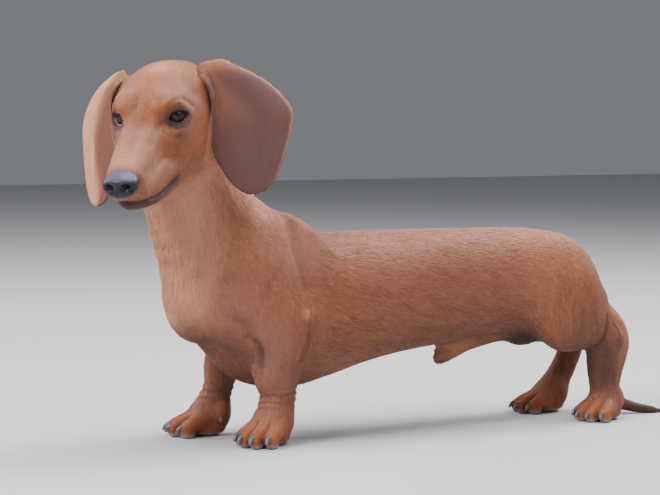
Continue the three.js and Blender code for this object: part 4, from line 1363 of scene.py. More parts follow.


# The lie of the coat, its marks and its painted light and shade


@dataclass
class Lie:
    """Which way the coat lies at each place."""

    anatomy: Anatomy

    def at(self, points: Array, normals: Array, shares: dict) -> Array:
        """The regions' own directions, weighed by their shares and laid into the surface.

        Args:
            points: rows of x, y, z on the skin.
            normals: their outward normals.
            shares: how much each region owns of each point.

        Returns:
            Unit directions along the surface.
        """
        x, y, z = points.T
        ones = np.ones(len(points))
        side = np.sign(y)
        low = 1 - ramp(z, 70, 130)
        trunk = np.stack([ones, -0.35 * side * low, -0.25 - 0.5 * (1 - ramp(x, -30, 40))], 1)
        neck = np.stack([0.35 + 0.4 * ramp(x, -60, -20), 0 * ones, -ones], 1)
        fore = np.stack([0.55 * ramp(z, 95, 150), 0 * ones, -ones], 1)
        hind = np.stack([0.25 + 0.6 * ramp(z, 80, 130), 0 * ones, -ones], 1)
        tail = self.along_tail(points)
        paws = np.zeros((len(points), 3))
        for paw in PAWS:
            place = paw.turned()
            near = np.linalg.norm(points - place.origin, axis=1) < 70
            paws[near] = place.outward([0.8, 0, -0.45])
        local = HEAD.inside(points)
        aside = np.sign(local[:, 1]) * ramp(np.abs(local[:, 1]), 2, 14)
        cheek = 1 - ramp(local[:, 2], -50, 5)
        head = HEAD.outward(np.stack([-ones, 0.3 * aside, -0.5 * cheek], 1))
        parts = {"trunk": trunk, "neck": neck, "fore": fore, "hind": hind, "tail": tail,
                 "paws": paws, "head": head}
        lie = sum(shares[name][:, None] * unit(part) for name, part in parts.items())
        for s in SIDES:
            eye = EYE.turned(s)
            q = eye.inside(points)
            q[:, 0] *= 0
            away = np.linalg.norm(q, axis=1)
            near = 2.2 * bell(away - 8, 5) * shares["head"]
            near = near * (np.linalg.norm(points - eye.origin, axis=1) < 24)
            lie = lie + near[:, None] * eye.outward(q / np.maximum(away, 1)[:, None])
        lie = lie - (lie * normals).sum(1)[:, None] * normals
        return unit(lie)

    def along_tail(self, points: Array) -> Array:
        """The tail's own direction at the nearest of its rows.

        Args:
            points: rows of x, y, z.

        Returns:
            Unit directions.
        """
        rows = densify(self.anatomy.tail_rows, 4)[:, :3]
        chunks = [((part[:, None] - rows[None, ::2]) ** 2).sum(2).argmin(1)
                  for part in np.array_split(points, len(points) // 4000 + 1)]
        nearest = np.concatenate(chunks) * 2
        nearest = np.clip(nearest, 1, len(rows) - 2)
        return unit(rows[nearest + 1] - rows[nearest - 1])


def toe_gaps(points: Array) -> Array:
    """How near points are to the gaps between the toes, 0 to 1, by bells across them.

    Args:
        points: rows of x, y, z.

    Returns:
        The nearness of each point.
    """
    found = np.zeros(len(points))
    for paw in PAWS:
        place = paw.turned()
        near = np.linalg.norm(points - place.origin, axis=1) < 45
        q = place.inside(points[near])
        reach = ramp(q[:, 0], 3, 11) * (q[:, 2] < 24)
        lines = [bell(q[:, 1] - gap * (1 + 0.008 * q[:, 0]), 1.25) for gap in (-10.8, 0.0, 10.8)]
        found[near] = sum(lines) * reach
    return found


def wrist_rings(points: Array) -> Array:
    """The creases round the wrists, as a sum of bells of height, each on its own slow wave.

    Args:
        points: rows of x, y, z.

    Returns:
        The sum at each point.
    """
    x, z = points[:, 0], points[:, 2]
    found = np.zeros(len(points))
    for at, deep, wide in ((46, 1.0, 1.5), (40.5, 0.9, 1.3), (35.5, 0.7, 1.3), (52, 0.45, 1.8)):
        found += deep * bell(z - at - 0.12 * (x - 8) - np.sin(x * 0.21 + at), wide)
    return found


def spotted(points: Array, spots: tuple) -> Array:
    """The sum of share * exp(-(distance / radius)^2) over spots of x, y, z, radius and share."""
    return sum(share * bell(np.linalg.norm(points - np.array([x, y, z]), axis=1), radius)
               for x, y, z, radius, share in spots)


# Spots of x, y, z, radius and share in the head's frame, mirrored to both sides. The pale spots on the
# bridge, the brows and the top of the skull are painted highlights; the rosy spots are a pinkish coat tint
# with painted sheen.
HEAD_SPOTS = {
    "rust": (
        (12.5, 18.3, 12.8, 5, 0.9), (15.7, 12, 7.4, 5, 0.8), (8, 22, 15.6, 5, 0.6),
        (-15.4, 7.1, 24.4, 6, 0.5), (-5, 5.2, 22.5, 5, 0.5), (-16.7, 41.3, -14.1, 10, 0.7),
        (-26.5, 40.1, -33.9, 14, 0.9), (-8, 34, -26, 10, 0.5), (4, 28, -30, 9, 0.5),
        (-20, 0, 26, 12, 0.45), (20, 24, -18, 10, 0.4),
    ),
    "rosy": (
        (30, 8, -5, 10, 0.5), (50, 6, -10, 12, 0.7), (66, 5, -12, 11, 0.7), (46, 18, -28, 10, 0.35),
        (-4, 16, 22, 7, 0.4), (-26, 22, 22, 10, 0.2), (2, 34, -12, 7, 0.5), (60, 14, -28, 10, 0.4),
    ),
    "pale": ((60, 0, -9, 8, 0.2), (-10, 22, 17, 6, 0.2), (-50, 0, 24, 16, 0.5)),
    "dark": (
        (42, 19.7, -50, 3.6, 0.75), (35, 21, -48.8, 4.3, 1), (28, 22.8, -48, 5, 1),
        (21.5, 24.4, -47.6, 4.8, 1), (-14, 38, 2, 4, 0.35), (8, 28, -13, 9, 0.5), (-12, 38, -8, 10, 0.3),
    ),
}
# Spots of x, y, z, radius and share in the dog's frame. The pale spots on the nape, the top of the rump, the
# tail's root and the elbow's knob are painted highlights; the rosy spots are a pinkish coat tint with
# painted sheen; the dark spots are painted shade on the near legs and in a small hollow of the neck.
BODY_SPOTS = {
    "rosy": (
        (-5, -60, 96, 22, 0.5), (-4, -56, 70, 22, 0.5), (-2, -54, 46, 20, 0.4), (-40, -52, 130, 30, 0.4),
        (-31, 52, 60, 30, 0.3), (20, -50, 170, 26, 0.5), (120, -40, 176, 50, 0.3),
        (240, -35, 170, 50, 0.25),
    ),
    "pale": (
        (-72, -2, 116, 8, 0.6), (2, -42, 22, 10, 0.35), (300, -20, 182, 40, 0.3), (0, -30, 211, 15, 0.9),
        (340, -30, 150, 22, 0.3), (27, -67, 119, 4, 0.4),
    ),
    "dark": (
        (-62.9, -35.6, 158.4, 4.5, 0.35), (352, -46, 62, 30, 0.5), (362, -44, 40, 22, 0.5),
        (322, -54, 92, 22, 0.25), (6, -58, 60, 18, 0.2),
    ),
}


class MarksAndPaintedLight:
    """Where the coat is pale, rosy, rust or dark, and where skin shows bare.

    Pale, rosy and dark are partly the coat's own colour and partly painted light: painted highlights,
    painted sheen on faces turned up, and painted shade under the body, inside the legs, in the groin,
    between the toes and along the creases. Its numbers are shares of a mark, and places in mm where a
    mark starts and ends.
    """

    def at(self, points: Array, normals: Array, shares: dict) -> dict:
        """Masks between 0 and 1 from the place, the facing and the region.

        Args:
            points: rows of x, y, z on the skin.
            normals: their outward normals.
            shares: how much each region owns of each point.

        Returns:
            pale, rosy, rust, dark and bare by name, and the shares of leg, neck and head.
        """
        x, y, z = points.T
        q = HEAD.inside(points)
        folded = np.column_stack([q[:, 0], np.abs(q[:, 1]), q[:, 2]])
        head, trunk, tail, paws = (shares[name] for name in ("head", "trunk", "tail", "paws"))
        marks = {name: head * spotted(folded, spots) for name, spots in HEAD_SPOTS.items()}
        for name, spots in BODY_SPOTS.items():
            marks[name] = marks[name] + (1 - head) * spotted(points, spots)
        throat = shares["neck"] * (1 - ramp(x + 0.15 * (z - 200), -66, -30))
        front = (1 - ramp(x, -58, -38)) * ramp(z, 88, 140) * trunk
        belly = (1 - ramp(z - 0.04 * x, 62, 82)) * trunk * ramp(x, 30, 70) * (1 - ramp(x, 200, 260))
        # Painted highlight: high on the neck, faces turned backwards are made paler.
        nape = shares["neck"] * ramp(normals[:, 0], 0.1, 0.7) * ramp(z, 190, 230)
        jaw = head * (1 - ramp(q[:, 2], -74, -58)) * (1 - ramp(q[:, 0], 0, 20))
        marks["pale"] += 0.8 * throat + 0.95 * front + 0.35 * belly + 0.7 * nape
        marks["pale"] += 0.4 * jaw + 0.2 * shares["neck"]
        down_tail = x + 60 - z
        marks["pale"] += 0.55 * tail * (1 - ramp(down_tail, 380, 440))
        # Painted sheen: off the head, faces turned up are made rosier.
        back = ramp(normals[:, 2], 0.5, 1) * (1 - head)
        marks["rosy"] += 0.3 * paws * ramp(z, 8, 20) + 0.4 * back
        # Painted shade, added to dark below: in the gaps between the toes, in the wrist creases, on faces
        # turned down, on the inner faces of the lower legs and in the groin, less on the far hind leg.
        gaps = toe_gaps(points)
        rings = wrist_rings(points) * shares["fore"]
        marks["rust"] += 0.8 * paws * (1 - ramp(z, 14, 28))
        under = ramp(-normals[:, 2], 0.0, 0.9) * (1 - head) * (1 - paws)
        inner = ramp(-np.sign(y) * normals[:, 1], 0.15, 0.75) * (1 - ramp(z, 70, 105))
        legs = shares["fore"] + shares["hind"] + 0.5 * paws
        groin = (shares["hind"] + trunk) * (1 - ramp(z, 80, 98))
        groin = groin * ramp(x, 250, 285) * ramp(-np.abs(y), -44, -20)
        near = 1 - 0.65 * (y > 5) * (x > 200)
        dark = marks["dark"] + 0.45 * near * inner * legs + 0.85 * near * groin
        dark += 0.9 * tail * ramp(down_tail, 412, 470)
        dark += 0.45 * under + 0.8 * gaps + 0.4 * rings
        dark += 0.7 * (1 - head) * bell(np.linalg.norm(points - np.array([202, 0, 64]), axis=1), 9)
        off = q[:, 2] - lip_height(q[:, 0])
        mouth = bell(off, 1.9) * ramp(q[:, 0], 11, 16) * (q[:, 2] < -30)
        lower = ramp(q[:, 0], 34, 50) * bell(off + 3.5, 4) * 0.5
        chin = ramp(q[:, 0], 46, 62) * (1 - ramp(off, -6, 1))
        edge = bell(NoseShape().depth(q), 2.2)
        dark += head * (0.9 * mouth + lower + 0.7 * chin + 0.5 * edge)
        # Painted shade along the creases.
        for crease in HEAD_CREASES:
            dark += head * crease.dark * crease.share(q)
        for crease in BODY_CREASES:
            dark += (1 - head) * crease.dark * crease.share(points)
        for s in SIDES:
            e = EYE.turned(s).inside(points)
            reach = np.hypot(e[:, 1] / 1.3, e[:, 2])
            dark += head * 0.75 * bell(reach - 7.4, 1.9 + 1.0 * (e[:, 2] > 0)) * (e[:, 0] > 4)
        marks["dark"] = dark
        marks["bare"] = ramp(-z, -5.2, -3.2) * ramp(-normals[:, 2], -0.25, 0.4) * paws
        marks["on_leg"] = shares["fore"] + shares["hind"] + tail + paws
        marks["on_neck"] = shares["neck"]
        marks["on_head"] = head
        return {name: np.clip(mark, 0, 1) for name, mark in marks.items()}


# Materials


@dataclass
class Graph:
    """A short way to lay nodes and links in one node tree."""

    tree: Tree

    def feed(self, node: bpy.types.Node, values: dict) -> None:
        """Links or sets a node's inputs.

        Args:
            node: the node.
            values: numbers, colours or sockets by input name or number.
        """
        for name, value in values.items():
            if isinstance(value, Socket):
                self.tree.links.new(value, node.inputs[name])
            else:
                node.inputs[name].default_value = value

    def node(self, kind: str, values: dict | None = None, **settings: object) -> bpy.types.Node:
        """A node with its settings and inputs.

        Args:
            kind: its type without the ShaderNode before it.
            values: numbers, colours or sockets by input name or number.
            settings: properties by name.

        Returns:
            The node.
        """
        made = self.tree.nodes.new("ShaderNode" + kind)
        for name, value in settings.items():
            setattr(made, name, value)
        self.feed(made, values or {})
        return made

    def maths(self, operation: str, a: object, b: object = 0.0, c: object = 0.0) -> Socket:
        """The result of a Math node on numbers or sockets."""
        return self.node("Math", {0: a, 1: b, 2: c}, operation=operation).outputs[0]

    def value(self, name: str) -> Socket:
        """A number that the vertices carry."""
        return self.node("Attribute", attribute_name=name).outputs["Fac"]

    def place(self) -> Socket:
        """The Object coordinates."""
        return self.node("TexCoord").outputs["Object"]

    def noise(self, at: Socket, scale: object, detail: float = 2.0, **more: float) -> Socket:
        """Noise at a place, with more inputs by name."""
        inputs = {"Vector": at, "Scale": scale, "Detail": detail} | more
        return self.node("TexNoise", inputs).outputs[0]

    def bump(self, height: Socket, strength: float, metres: float) -> Socket:
        """A normal from a height."""
        inputs = {"Height": height, "Strength": strength, "Distance": metres}
        return self.node("Bump", inputs).outputs[0]

    def mix(self, share: object, a: object, b: object) -> Socket:
        """Two colours mixed."""
        return self.node("Mix", {0: share, 6: a, 7: b}, data_type="RGBA").outputs[2]

    def spread(self, value: object, low: float, high: float, to: tuple = (0.0, 1.0)) -> Socket:
        """A value's range stretched to another, held inside it."""
        inputs = {"Value": value, "From Min": low, "From Max": high, "To Min": to[0], "To Max": to[1]}
        return self.node("MapRange", inputs).outputs[0]


def new_group(name: str, inputs: dict, outputs: dict) -> tuple:
    """A shader node group with named sockets.

    Args:
        name: its name.
        inputs: socket kinds by name.
        outputs: socket kinds by name.

    Returns:
        The group's tree, its graph and its input and output nodes.
    """
    tree = bpy.data.node_groups.new(name, "ShaderNodeTree")
    for way, sockets in (("INPUT", inputs), ("OUTPUT", outputs)):
        for label, kind in sockets.items():
            tree.interface.new_socket(label, in_out=way, socket_type="NodeSocket" + kind)
    return tree, Graph(tree), tree.nodes.new("NodeGroupInput"), tree.nodes.new("NodeGroupOutput")


def new_material(name: str) -> tuple:
    """A material with nodes.

    Args:
        name: its name.

    Returns:
        The material, its graph and its shader.
    """
    material = bpy.data.materials.new(name)
    material.use_nodes = True
    return material, Graph(material.node_tree), material.node_tree.nodes["Principled BSDF"]


class Comb(Enum):
    """Ways the coat's fine streaks run, as the turn of a mapping in degrees."""

    BODY = (0.0, 16.0, 0.0)
    NECK = (0.0, 68.0, 0.0)
    LEG = (0.0, 90.0, 0.0)
    HEAD = (0.0, -26.0, 47.5)


def streak_group() -> Tree:
    """Fine streaks along the lie: noise stretched tenfold, for each way the coat runs.

    Returns:
        The group.
    """
    outputs = {"Height": "Float", "Clump": "Float"}
    tree, g, into, out = new_group("coat_streaks", {"Fineness": "Float"}, outputs)
    place = g.place()
    shares = {Comb.NECK: g.value("on_neck"), Comb.LEG: g.value("on_leg"), Comb.HEAD: g.value("on_head")}
    fine, clump = None, None
    for comb in Comb:
        turn = tuple(np.radians(comb.value))
        turned = g.node("VectorRotate", {"Vector": place, "Rotation": turn},
                        rotation_type="EULER_XYZ", invert=True)
        scaled = g.node("Mapping", {"Vector": turned.outputs[0], "Scale": (0.11, 1.0, 1.0)})
        noise = g.noise(scaled.outputs[0], into.outputs[0], Roughness=0.55, Distortion=0.35)
        wide = g.node("Mapping", {"Vector": turned.outputs[0], "Scale": (0.3, 1.0, 1.0)})
        broad = g.noise(wide.outputs[0], 130.0, Roughness=0.5, Distortion=0.4)
        if fine is None:
            fine, clump = noise, broad
            continue
        share = shares[comb]
        fine = g.maths("ADD", fine, g.maths("MULTIPLY", g.maths("SUBTRACT", noise, fine), share))
        clump = g.maths("ADD", clump, g.maths("MULTIPLY", g.maths("SUBTRACT", broad, clump), share))
    g.feed(out, {"Height": fine, "Clump": clump})
    return tree


def mark_and_light_group() -> Tree:
    """The coat's colours mixed by the marks the vertices carry, their edges broken by noise.

    Returns:
        The group.
    """
    names = ("Base", "Deep", "Rosy", "Pale", "Rust", "Dark")
    sockets = {name: "Color" for name in names} | {"Tone": "Float"}
    tree, g, into, out = new_group("coat_marks_and_painted_light", sockets, {"Color": "Color"})
    place = g.place()
    soft = g.noise(place, 28.0, 3.0)
    fine = g.noise(place, 210.0)
    both = g.maths("ADD", g.maths("MULTIPLY", soft, 0.55), g.maths("MULTIPLY", fine, 0.45))
    colour = g.mix(g.spread(into.outputs["Tone"], 0.3, 0.72), into.outputs["Deep"], into.outputs["Base"])
    # Pale, rosy and dark bring in painted highlights, painted sheen and painted shade as well as the coat's
    # own colour.
    for mark in ("Rosy", "Rust", "Pale", "Dark"):
        value = g.value(mark.lower())
        broken = g.maths("MULTIPLY", g.maths("SUBTRACT", both, 0.5), 0.8)
        away = g.maths("ABSOLUTE", g.maths("MULTIPLY_ADD", value, 2.0, -1.0))
        edge = g.maths("MULTIPLY", g.maths("SUBTRACT", 1.0, away), broken)
        share = g.node("Clamp", {"Value": g.maths("ADD", value, edge)}).outputs[0]
        colour = g.mix(share, colour, into.outputs[mark])
    shade = g.spread(into.outputs["Tone"], 0.25, 0.8, (0.9, 1.1))
    bright = g.node("VectorMath", {0: colour, "Scale": shade}, operation="SCALE")
    g.feed(out, {"Color": bright.outputs[0]})
    return tree


@dataclass(frozen=True)
class CoatFinish:
    """The coat's colours and gloss, for skin, ears and tufts."""

    name: str
    base: tuple = (0.32, 0.115, 0.052, 1)
    deep: tuple = (0.20, 0.063, 0.025, 1)
    # rosy is a pinkish coat tint and also painted sheen; pale is pale coat and also painted highlight; dark
    # is dark skin and coat and also painted shade.
    rosy: tuple = (0.38, 0.16, 0.115, 1)
    pale: tuple = (0.60, 0.27, 0.145, 1)
    rust: tuple = (0.34, 0.085, 0.018, 1)
    dark: tuple = (0.06, 0.028, 0.024, 1)
    bare: tuple = (0.24, 0.21, 0.225, 1)
    fineness: float = 950.0
    roughness: tuple = (0.5, 0.72)
    bump: float = 0.3
    contrast: float = 0.95
    sheen: float = 0.09
    tufted: bool = False

    def build(self, streaks: Tree, marks_and_light: Tree) -> Material:
        """The material.

        Args:
            streaks: the group of fine streaks.
            marks_and_light: the group that mixes the marks, painted light and shade among them.

        Returns:
            The material.
        """
        material, g, shader = new_material(self.name)
        streak = g.node("Group", node_tree=streaks)
        g.feed(streak, {"Fineness": self.fineness})
        tone = g.maths("ADD", g.maths("MULTIPLY", streak.outputs["Height"], 0.6),
                       g.maths("MULTIPLY", streak.outputs["Clump"], 0.4))
        if self.tufted:
            own = g.maths("MULTIPLY", g.value("tone"), 0.17)
            tip = g.maths("MULTIPLY", g.maths("SUBTRACT", g.value("along"), 0.4), 0.14)
            tone = g.maths("ADD", tone, g.maths("ADD", own, tip))
        tone = g.maths("MULTIPLY_ADD", g.maths("SUBTRACT", tone, 0.5), self.contrast, 0.5)
        mark = g.node("Group", node_tree=marks_and_light)
        g.feed(mark, {"Base": self.base, "Deep": self.deep, "Rosy": self.rosy, "Pale": self.pale,
                      "Rust": self.rust, "Dark": self.dark, "Tone": tone})
        bump = g.bump(streak.outputs["Height"], self.bump, 0.0006)
        g.feed(shader, {
            "Base Color": g.mix(g.value("bare"), mark.outputs["Color"], self.bare),
            "Roughness": g.spread(streak.outputs["Clump"], 0.3, 0.7, (self.roughness[1], self.roughness[0])),
            "Normal": bump, "Sheen Weight": self.sheen, "Sheen Roughness": 0.45,
            "Sheen Tint": (0.92, 0.78, 0.86, 1), "Specular IOR Level": 0.3,
        })
        return material


@dataclass(frozen=True)
class NoseFinish:
    """Damp, grained nose leather."""

    colour: tuple = (0.012, 0.012, 0.016, 1)
    light: tuple = (0.03, 0.03, 0.038, 1)
    # top: the colour of a painted reflection on the pad's upper face.
    top: tuple = (0.075, 0.075, 0.14, 1)

    def build(self) -> Material:
        """The material: small round grains of a Voronoi pattern, with a painted reflection on top and
        painted shade in the nostrils.

        Returns:
            The material.
        """
        material, g, shader = new_material("nose_leather")
        place = g.place()
        cells = g.node("TexVoronoi", {"Vector": place, "Scale": 900.0}, feature="SMOOTH_F1").outputs[0]
        cloud = g.noise(place, 90.0, 3.0)
        dark = g.mix(g.spread(cloud, 0.35, 0.7), self.colour, self.light)
        upper = g.mix(g.value("top"), dark, self.top)
        bump = g.node("Bump", {"Height": cells, "Strength": 0.5, "Distance": 0.0004}, invert=True)
        g.feed(shader, {
            # A painted reflection on the top of the pad and painted shade in the nostrils.
            "Base Color": g.mix(g.value("pit"), upper, (0.002, 0.002, 0.002, 1)),
            "Roughness": g.spread(cloud, 0.3, 0.7, (0.34, 0.5)), "Normal": bump.outputs[0],
            "Coat Weight": 0.05, "Specular IOR Level": 0.25,
        })
        return material


@dataclass(frozen=True)
class HornFinish:
    """Dark, glossy claw horn with fine lines along it."""

    colour: tuple = (0.085, 0.085, 0.1, 1)
    light: tuple = (0.24, 0.23, 0.25, 1)

    def build(self) -> Material:
        """The material: paler towards the tip, with a faint grain.

        Returns:
            The material.
        """
        material, g, shader = new_material("claw_horn")
        place = g.place()
        grain = g.noise(place, 700.0)
        share = g.maths("MULTIPLY", g.spread(g.value("along"), 0.55, 1.0), g.spread(grain, 0.2, 0.8))
        bump = g.bump(grain, 0.15, 0.0002)
        g.feed(shader, {"Base Color": g.mix(share, self.colour, self.light),
                        "Roughness": g.spread(grain, 0.3, 0.7, (0.2, 0.36)), "Normal": bump})
        return material


@dataclass(frozen=True)
class EyeFinish:
    """A wet dark brown eye: pupil, iris with fine rays, dark ring and a little white."""

    iris: tuple = (0.026, 0.015, 0.012, 1)
    flare: tuple = (0.06, 0.034, 0.024, 1)
    white: tuple = (0.14, 0.11, 0.1, 1)

    def build(self) -> Material:
        """The material, by the angle from the eye's axis and round it that the vertices carry.

        Returns:
            The material.
        """
        material, g, shader = new_material("eye_wet")
        polar = g.value("polar")
        uv = g.node("UVMap", uv_map="Rays").outputs[0]
        rays = g.node("Mapping", {"Vector": uv, "Scale": (60.0, 3.0, 1.0)}).outputs[0]
        noise = g.noise(rays, 1.0, 3.0)
        share = g.maths("MULTIPLY", g.spread(noise, 0.35, 0.75), g.spread(polar, 0.3, 0.5))
        iris = g.mix(share, self.iris, self.flare)
        pupil = g.mix(g.spread(polar, 0.26, 0.31), (0.007, 0.007, 0.009, 1), iris)
        limbus = g.mix(g.spread(polar, 0.72, 0.84), pupil, (0.012, 0.011, 0.014, 1))
        g.feed(shader, {
            "Base Color": g.mix(g.spread(polar, 1.0, 1.12), limbus, self.white), "Roughness": 0.06,
            "Coat Weight": 0.15, "Coat Roughness": 0.02, "Specular IOR Level": 0.2,
        })
        return material


@dataclass(frozen=True)
class LidFinish:
    """The dark, moist margin of the lids."""

    colour: tuple = (0.022, 0.016, 0.017, 1)
    # lower: the colour of a painted reflection on the wet lower margin.
    lower: tuple = (0.22, 0.21, 0.25, 1)

    def build(self) -> Material:
        """The material: a painted reflection along the lower lid's margin, broken by noise.

        Returns:
            The material.
        """
        material, g, shader = new_material("lid_margin")
        place = g.place()
        noise = g.noise(place, 400.0)
        share = g.maths("MULTIPLY", g.value("lower"), g.spread(noise, 0.2, 0.7))
        g.feed(shader, {"Base Color": g.mix(share, self.colour, self.lower), "Roughness": 0.33})
        return material


# Pieces


@dataclass
class Flesh:
    """The skin's piece, in place of every node of flesh."""

    skin: Skin
    marks_and_light: MarksAndPaintedLight
    nodes: tuple = (
        "torso", "neck", "head", "lower_jaw", "foreleg_left", "foreleg_right", "thigh_left",
        "thigh_right", "hind_leg_left", "hind_leg_right", "foot_front_left", "foot_front_right",
        "foot_hind_left", "foot_hind_right", "tail_base", "tail_middle", "tail_tip",
    )

    def build(self, material: Material) -> Piece:
        """The skin as one closed mesh with its marks.

        Args:
            material: the coat's finish.

        Returns:
            The piece.
        """
        skin = self.skin
        piece = put_mesh("skin", skin.points, skin.quads, material)
        put_values(piece, self.marks_and_light.at(skin.points, skin.normals, skin.shares))
        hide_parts(*self.nodes)
        return piece


@dataclass
class Ear:
    """One ear: a thin closed leaf with a rolled rim and soft folds, laid over the cheek.

    It lies at least the clearance off the skin, from its first number at the root to its second.
    """

    shape: EarShape
    skin: Skin
    clearance: tuple = (-2.4, 2.4)
    rows: int = 110
    across: int = 46

    def __post_init__(self) -> None:
        """Works out how far each place of the leaf is pushed off the skin."""
        self.downs = np.linspace(*self.shape.span(), 60)
        self.places = np.linspace(-1, 1, 48)
        down, e = np.meshgrid(self.downs, self.places, indexing="ij")
        flat = self.shape.middle(down.ravel(), e.ravel())
        first, last = self.clearance
        target = first + (last - first) * ramp(flat[:, 0], -8, 9)
        pushed = np.zeros(len(flat))
        for _ in range(4):
            moved = flat + pushed[:, None] * np.array([0, 0, 1.0])
            depth = self.skin.base(self.shape.turned().outside(moved))
            pushed = pushed + np.clip(target - depth, 0, 8)
        self.pushed = pushed.reshape(down.shape)

    def lift(self, down: Array, e: Array) -> Array:
        """The push off the skin at a place, by straight interpolation in its grid.

        Args:
            down: how far down the leaf.
            e: the place across it, -1 to 1.

        Returns:
            The pushes in mm.
        """
        row = np.clip((down - self.downs[0]) / (self.downs[1] - self.downs[0]), 0, len(self.downs) - 1.001)
        column = np.clip((e + 1) / (self.places[1] - self.places[0]), 0, len(self.places) - 1.001)
        i, j = row.astype(int), column.astype(int)
        u, v = row - i, column - j
        top = self.pushed[i, j] * (1 - v) + self.pushed[i, j + 1] * v
        low = self.pushed[i + 1, j] * (1 - v) + self.pushed[i + 1, j + 1] * v
        return top * (1 - u) + low * u

    def surface(self, s: Array, e: Array, out: int) -> Array:
        """A face of the leaf: the middle surface moved half the thickness along its normal.

        Args:
            s: the place down the leaf, 0 to 1.
            e: the place across it, -1 to 1.
            out: 1 for the outer face, -1 for the inner one.

        Returns:
            Points in the ear's frame.
        """
        first, last = self.shape.span()
        down = first + (last - first) * (0.006 + 0.988 * (1 - np.cos(np.pi * s)) / 2)
        e = np.sin(np.pi / 2 * e)
        middle = self.shape.middle(down, e)
        middle[..., 2] += self.lift(down, e)
        tip = np.minimum(1, 0.15 + np.sqrt(np.clip(np.minimum(s, 1 - s) * 9, 0, 1)))
        edge = np.sqrt(np.clip(1 - e**6, 0.0, 1))
        base = 1 + 0.7 * (1 - ramp(down, -4, 30)) + 0.75 * bell(e + 0.93, 0.07) * ramp(down, -6, 8)
        thick = self.shape.thickness / 2 * base * np.maximum(edge, 0.12) * tip
        middle[..., 2] += out * thick + 0.9 * bell(e + 0.95, 0.1) * ramp(down, -6, 10)
        return middle

    def build(self, material: Material) -> Piece:
        """The leaf, with its outer face, its inner face and its rim in one closed grid.

        Args:
            material: the ear's finish.

        Returns:
            The piece.
        """
        s, e = np.meshgrid(np.linspace(0, 1, self.rows), np.linspace(-1, 1, self.across), indexing="ij")
        outer = self.surface(s, e, 1)
        inner = self.surface(s[:, 1:-1], e[:, 1:-1], -1)[:, ::-1]
        rings = np.concatenate([outer, inner], 1)
        points, faces = tube(self.shape.turned().outside(rings))
        name = SIDE_NAMES[self.shape.side]
        piece = put_mesh("ear_leaf_" + name, points, faces, material)
        put_values(piece, self.marks(points))
        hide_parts("ear_" + name)
        return piece

    def marks(self, points: Array) -> dict:
        """The ear's marks: darker down the outer face, reddish at the root, pale along the rim.

        Args:
            points: rows of x, y, z on the leaf.

        Returns:
            The marks by name.
        """
        q = self.shape.turned().inside(points)
        table = self.shape.table()
        centre, half = (np.interp(q[:, 0], table[:, 0], table[:, i]) for i in (1, 2))
        e = (q[:, 1] - centre) / np.maximum(half, 1)
        middle = self.shape.middle(q[:, 0], np.clip(e, -1, 1))
        outer = ramp(q[:, 2] - middle[:, 2], -0.6, 0.6)
        down = ramp(q[:, 0], -12, 12)
        # The pale rim is a painted rim light, and the pale streak down the near ear's fold is a painted
        # highlight.
        rim = ramp(e, 0.86, 0.99)
        near = self.shape.side == LEFT
        streak = bell(e + 0.45 - 0.004 * q[:, 0], 0.16) * (1 - ramp(q[:, 0], 20, 60))
        if near:
            dark = 0.8 * down * outer * (1 - 0.8 * rim) * (1 - 0.35 * streak)
            pale = 0.12 * streak
        else:
            # On the far ear, the pale strip away from the head is partly pale coat and partly painted
            # highlight.
            place = e + 0.011 * np.maximum(q[:, 0] - 55, 0)
            dark = 0.45 * outer * (1 - ramp(place, -0.35, 0.15)) * ramp(q[:, 0], 4, 20)
            pale = 0.95 * outer * ramp(place, -0.15, 0.3)
        dark += 0.1 * (1 - outer)
        zero = np.zeros(len(points))
        return {
            "pale": np.clip(pale + 0.45 * rim, 0, 1), "rust": 0.25 * (1 - down) + zero,
            "dark": np.clip(dark, 0, 1), "rosy": zero, "bare": zero, "on_leg": zero + 1.0,
            "on_neck": zero, "on_head": zero,
        }


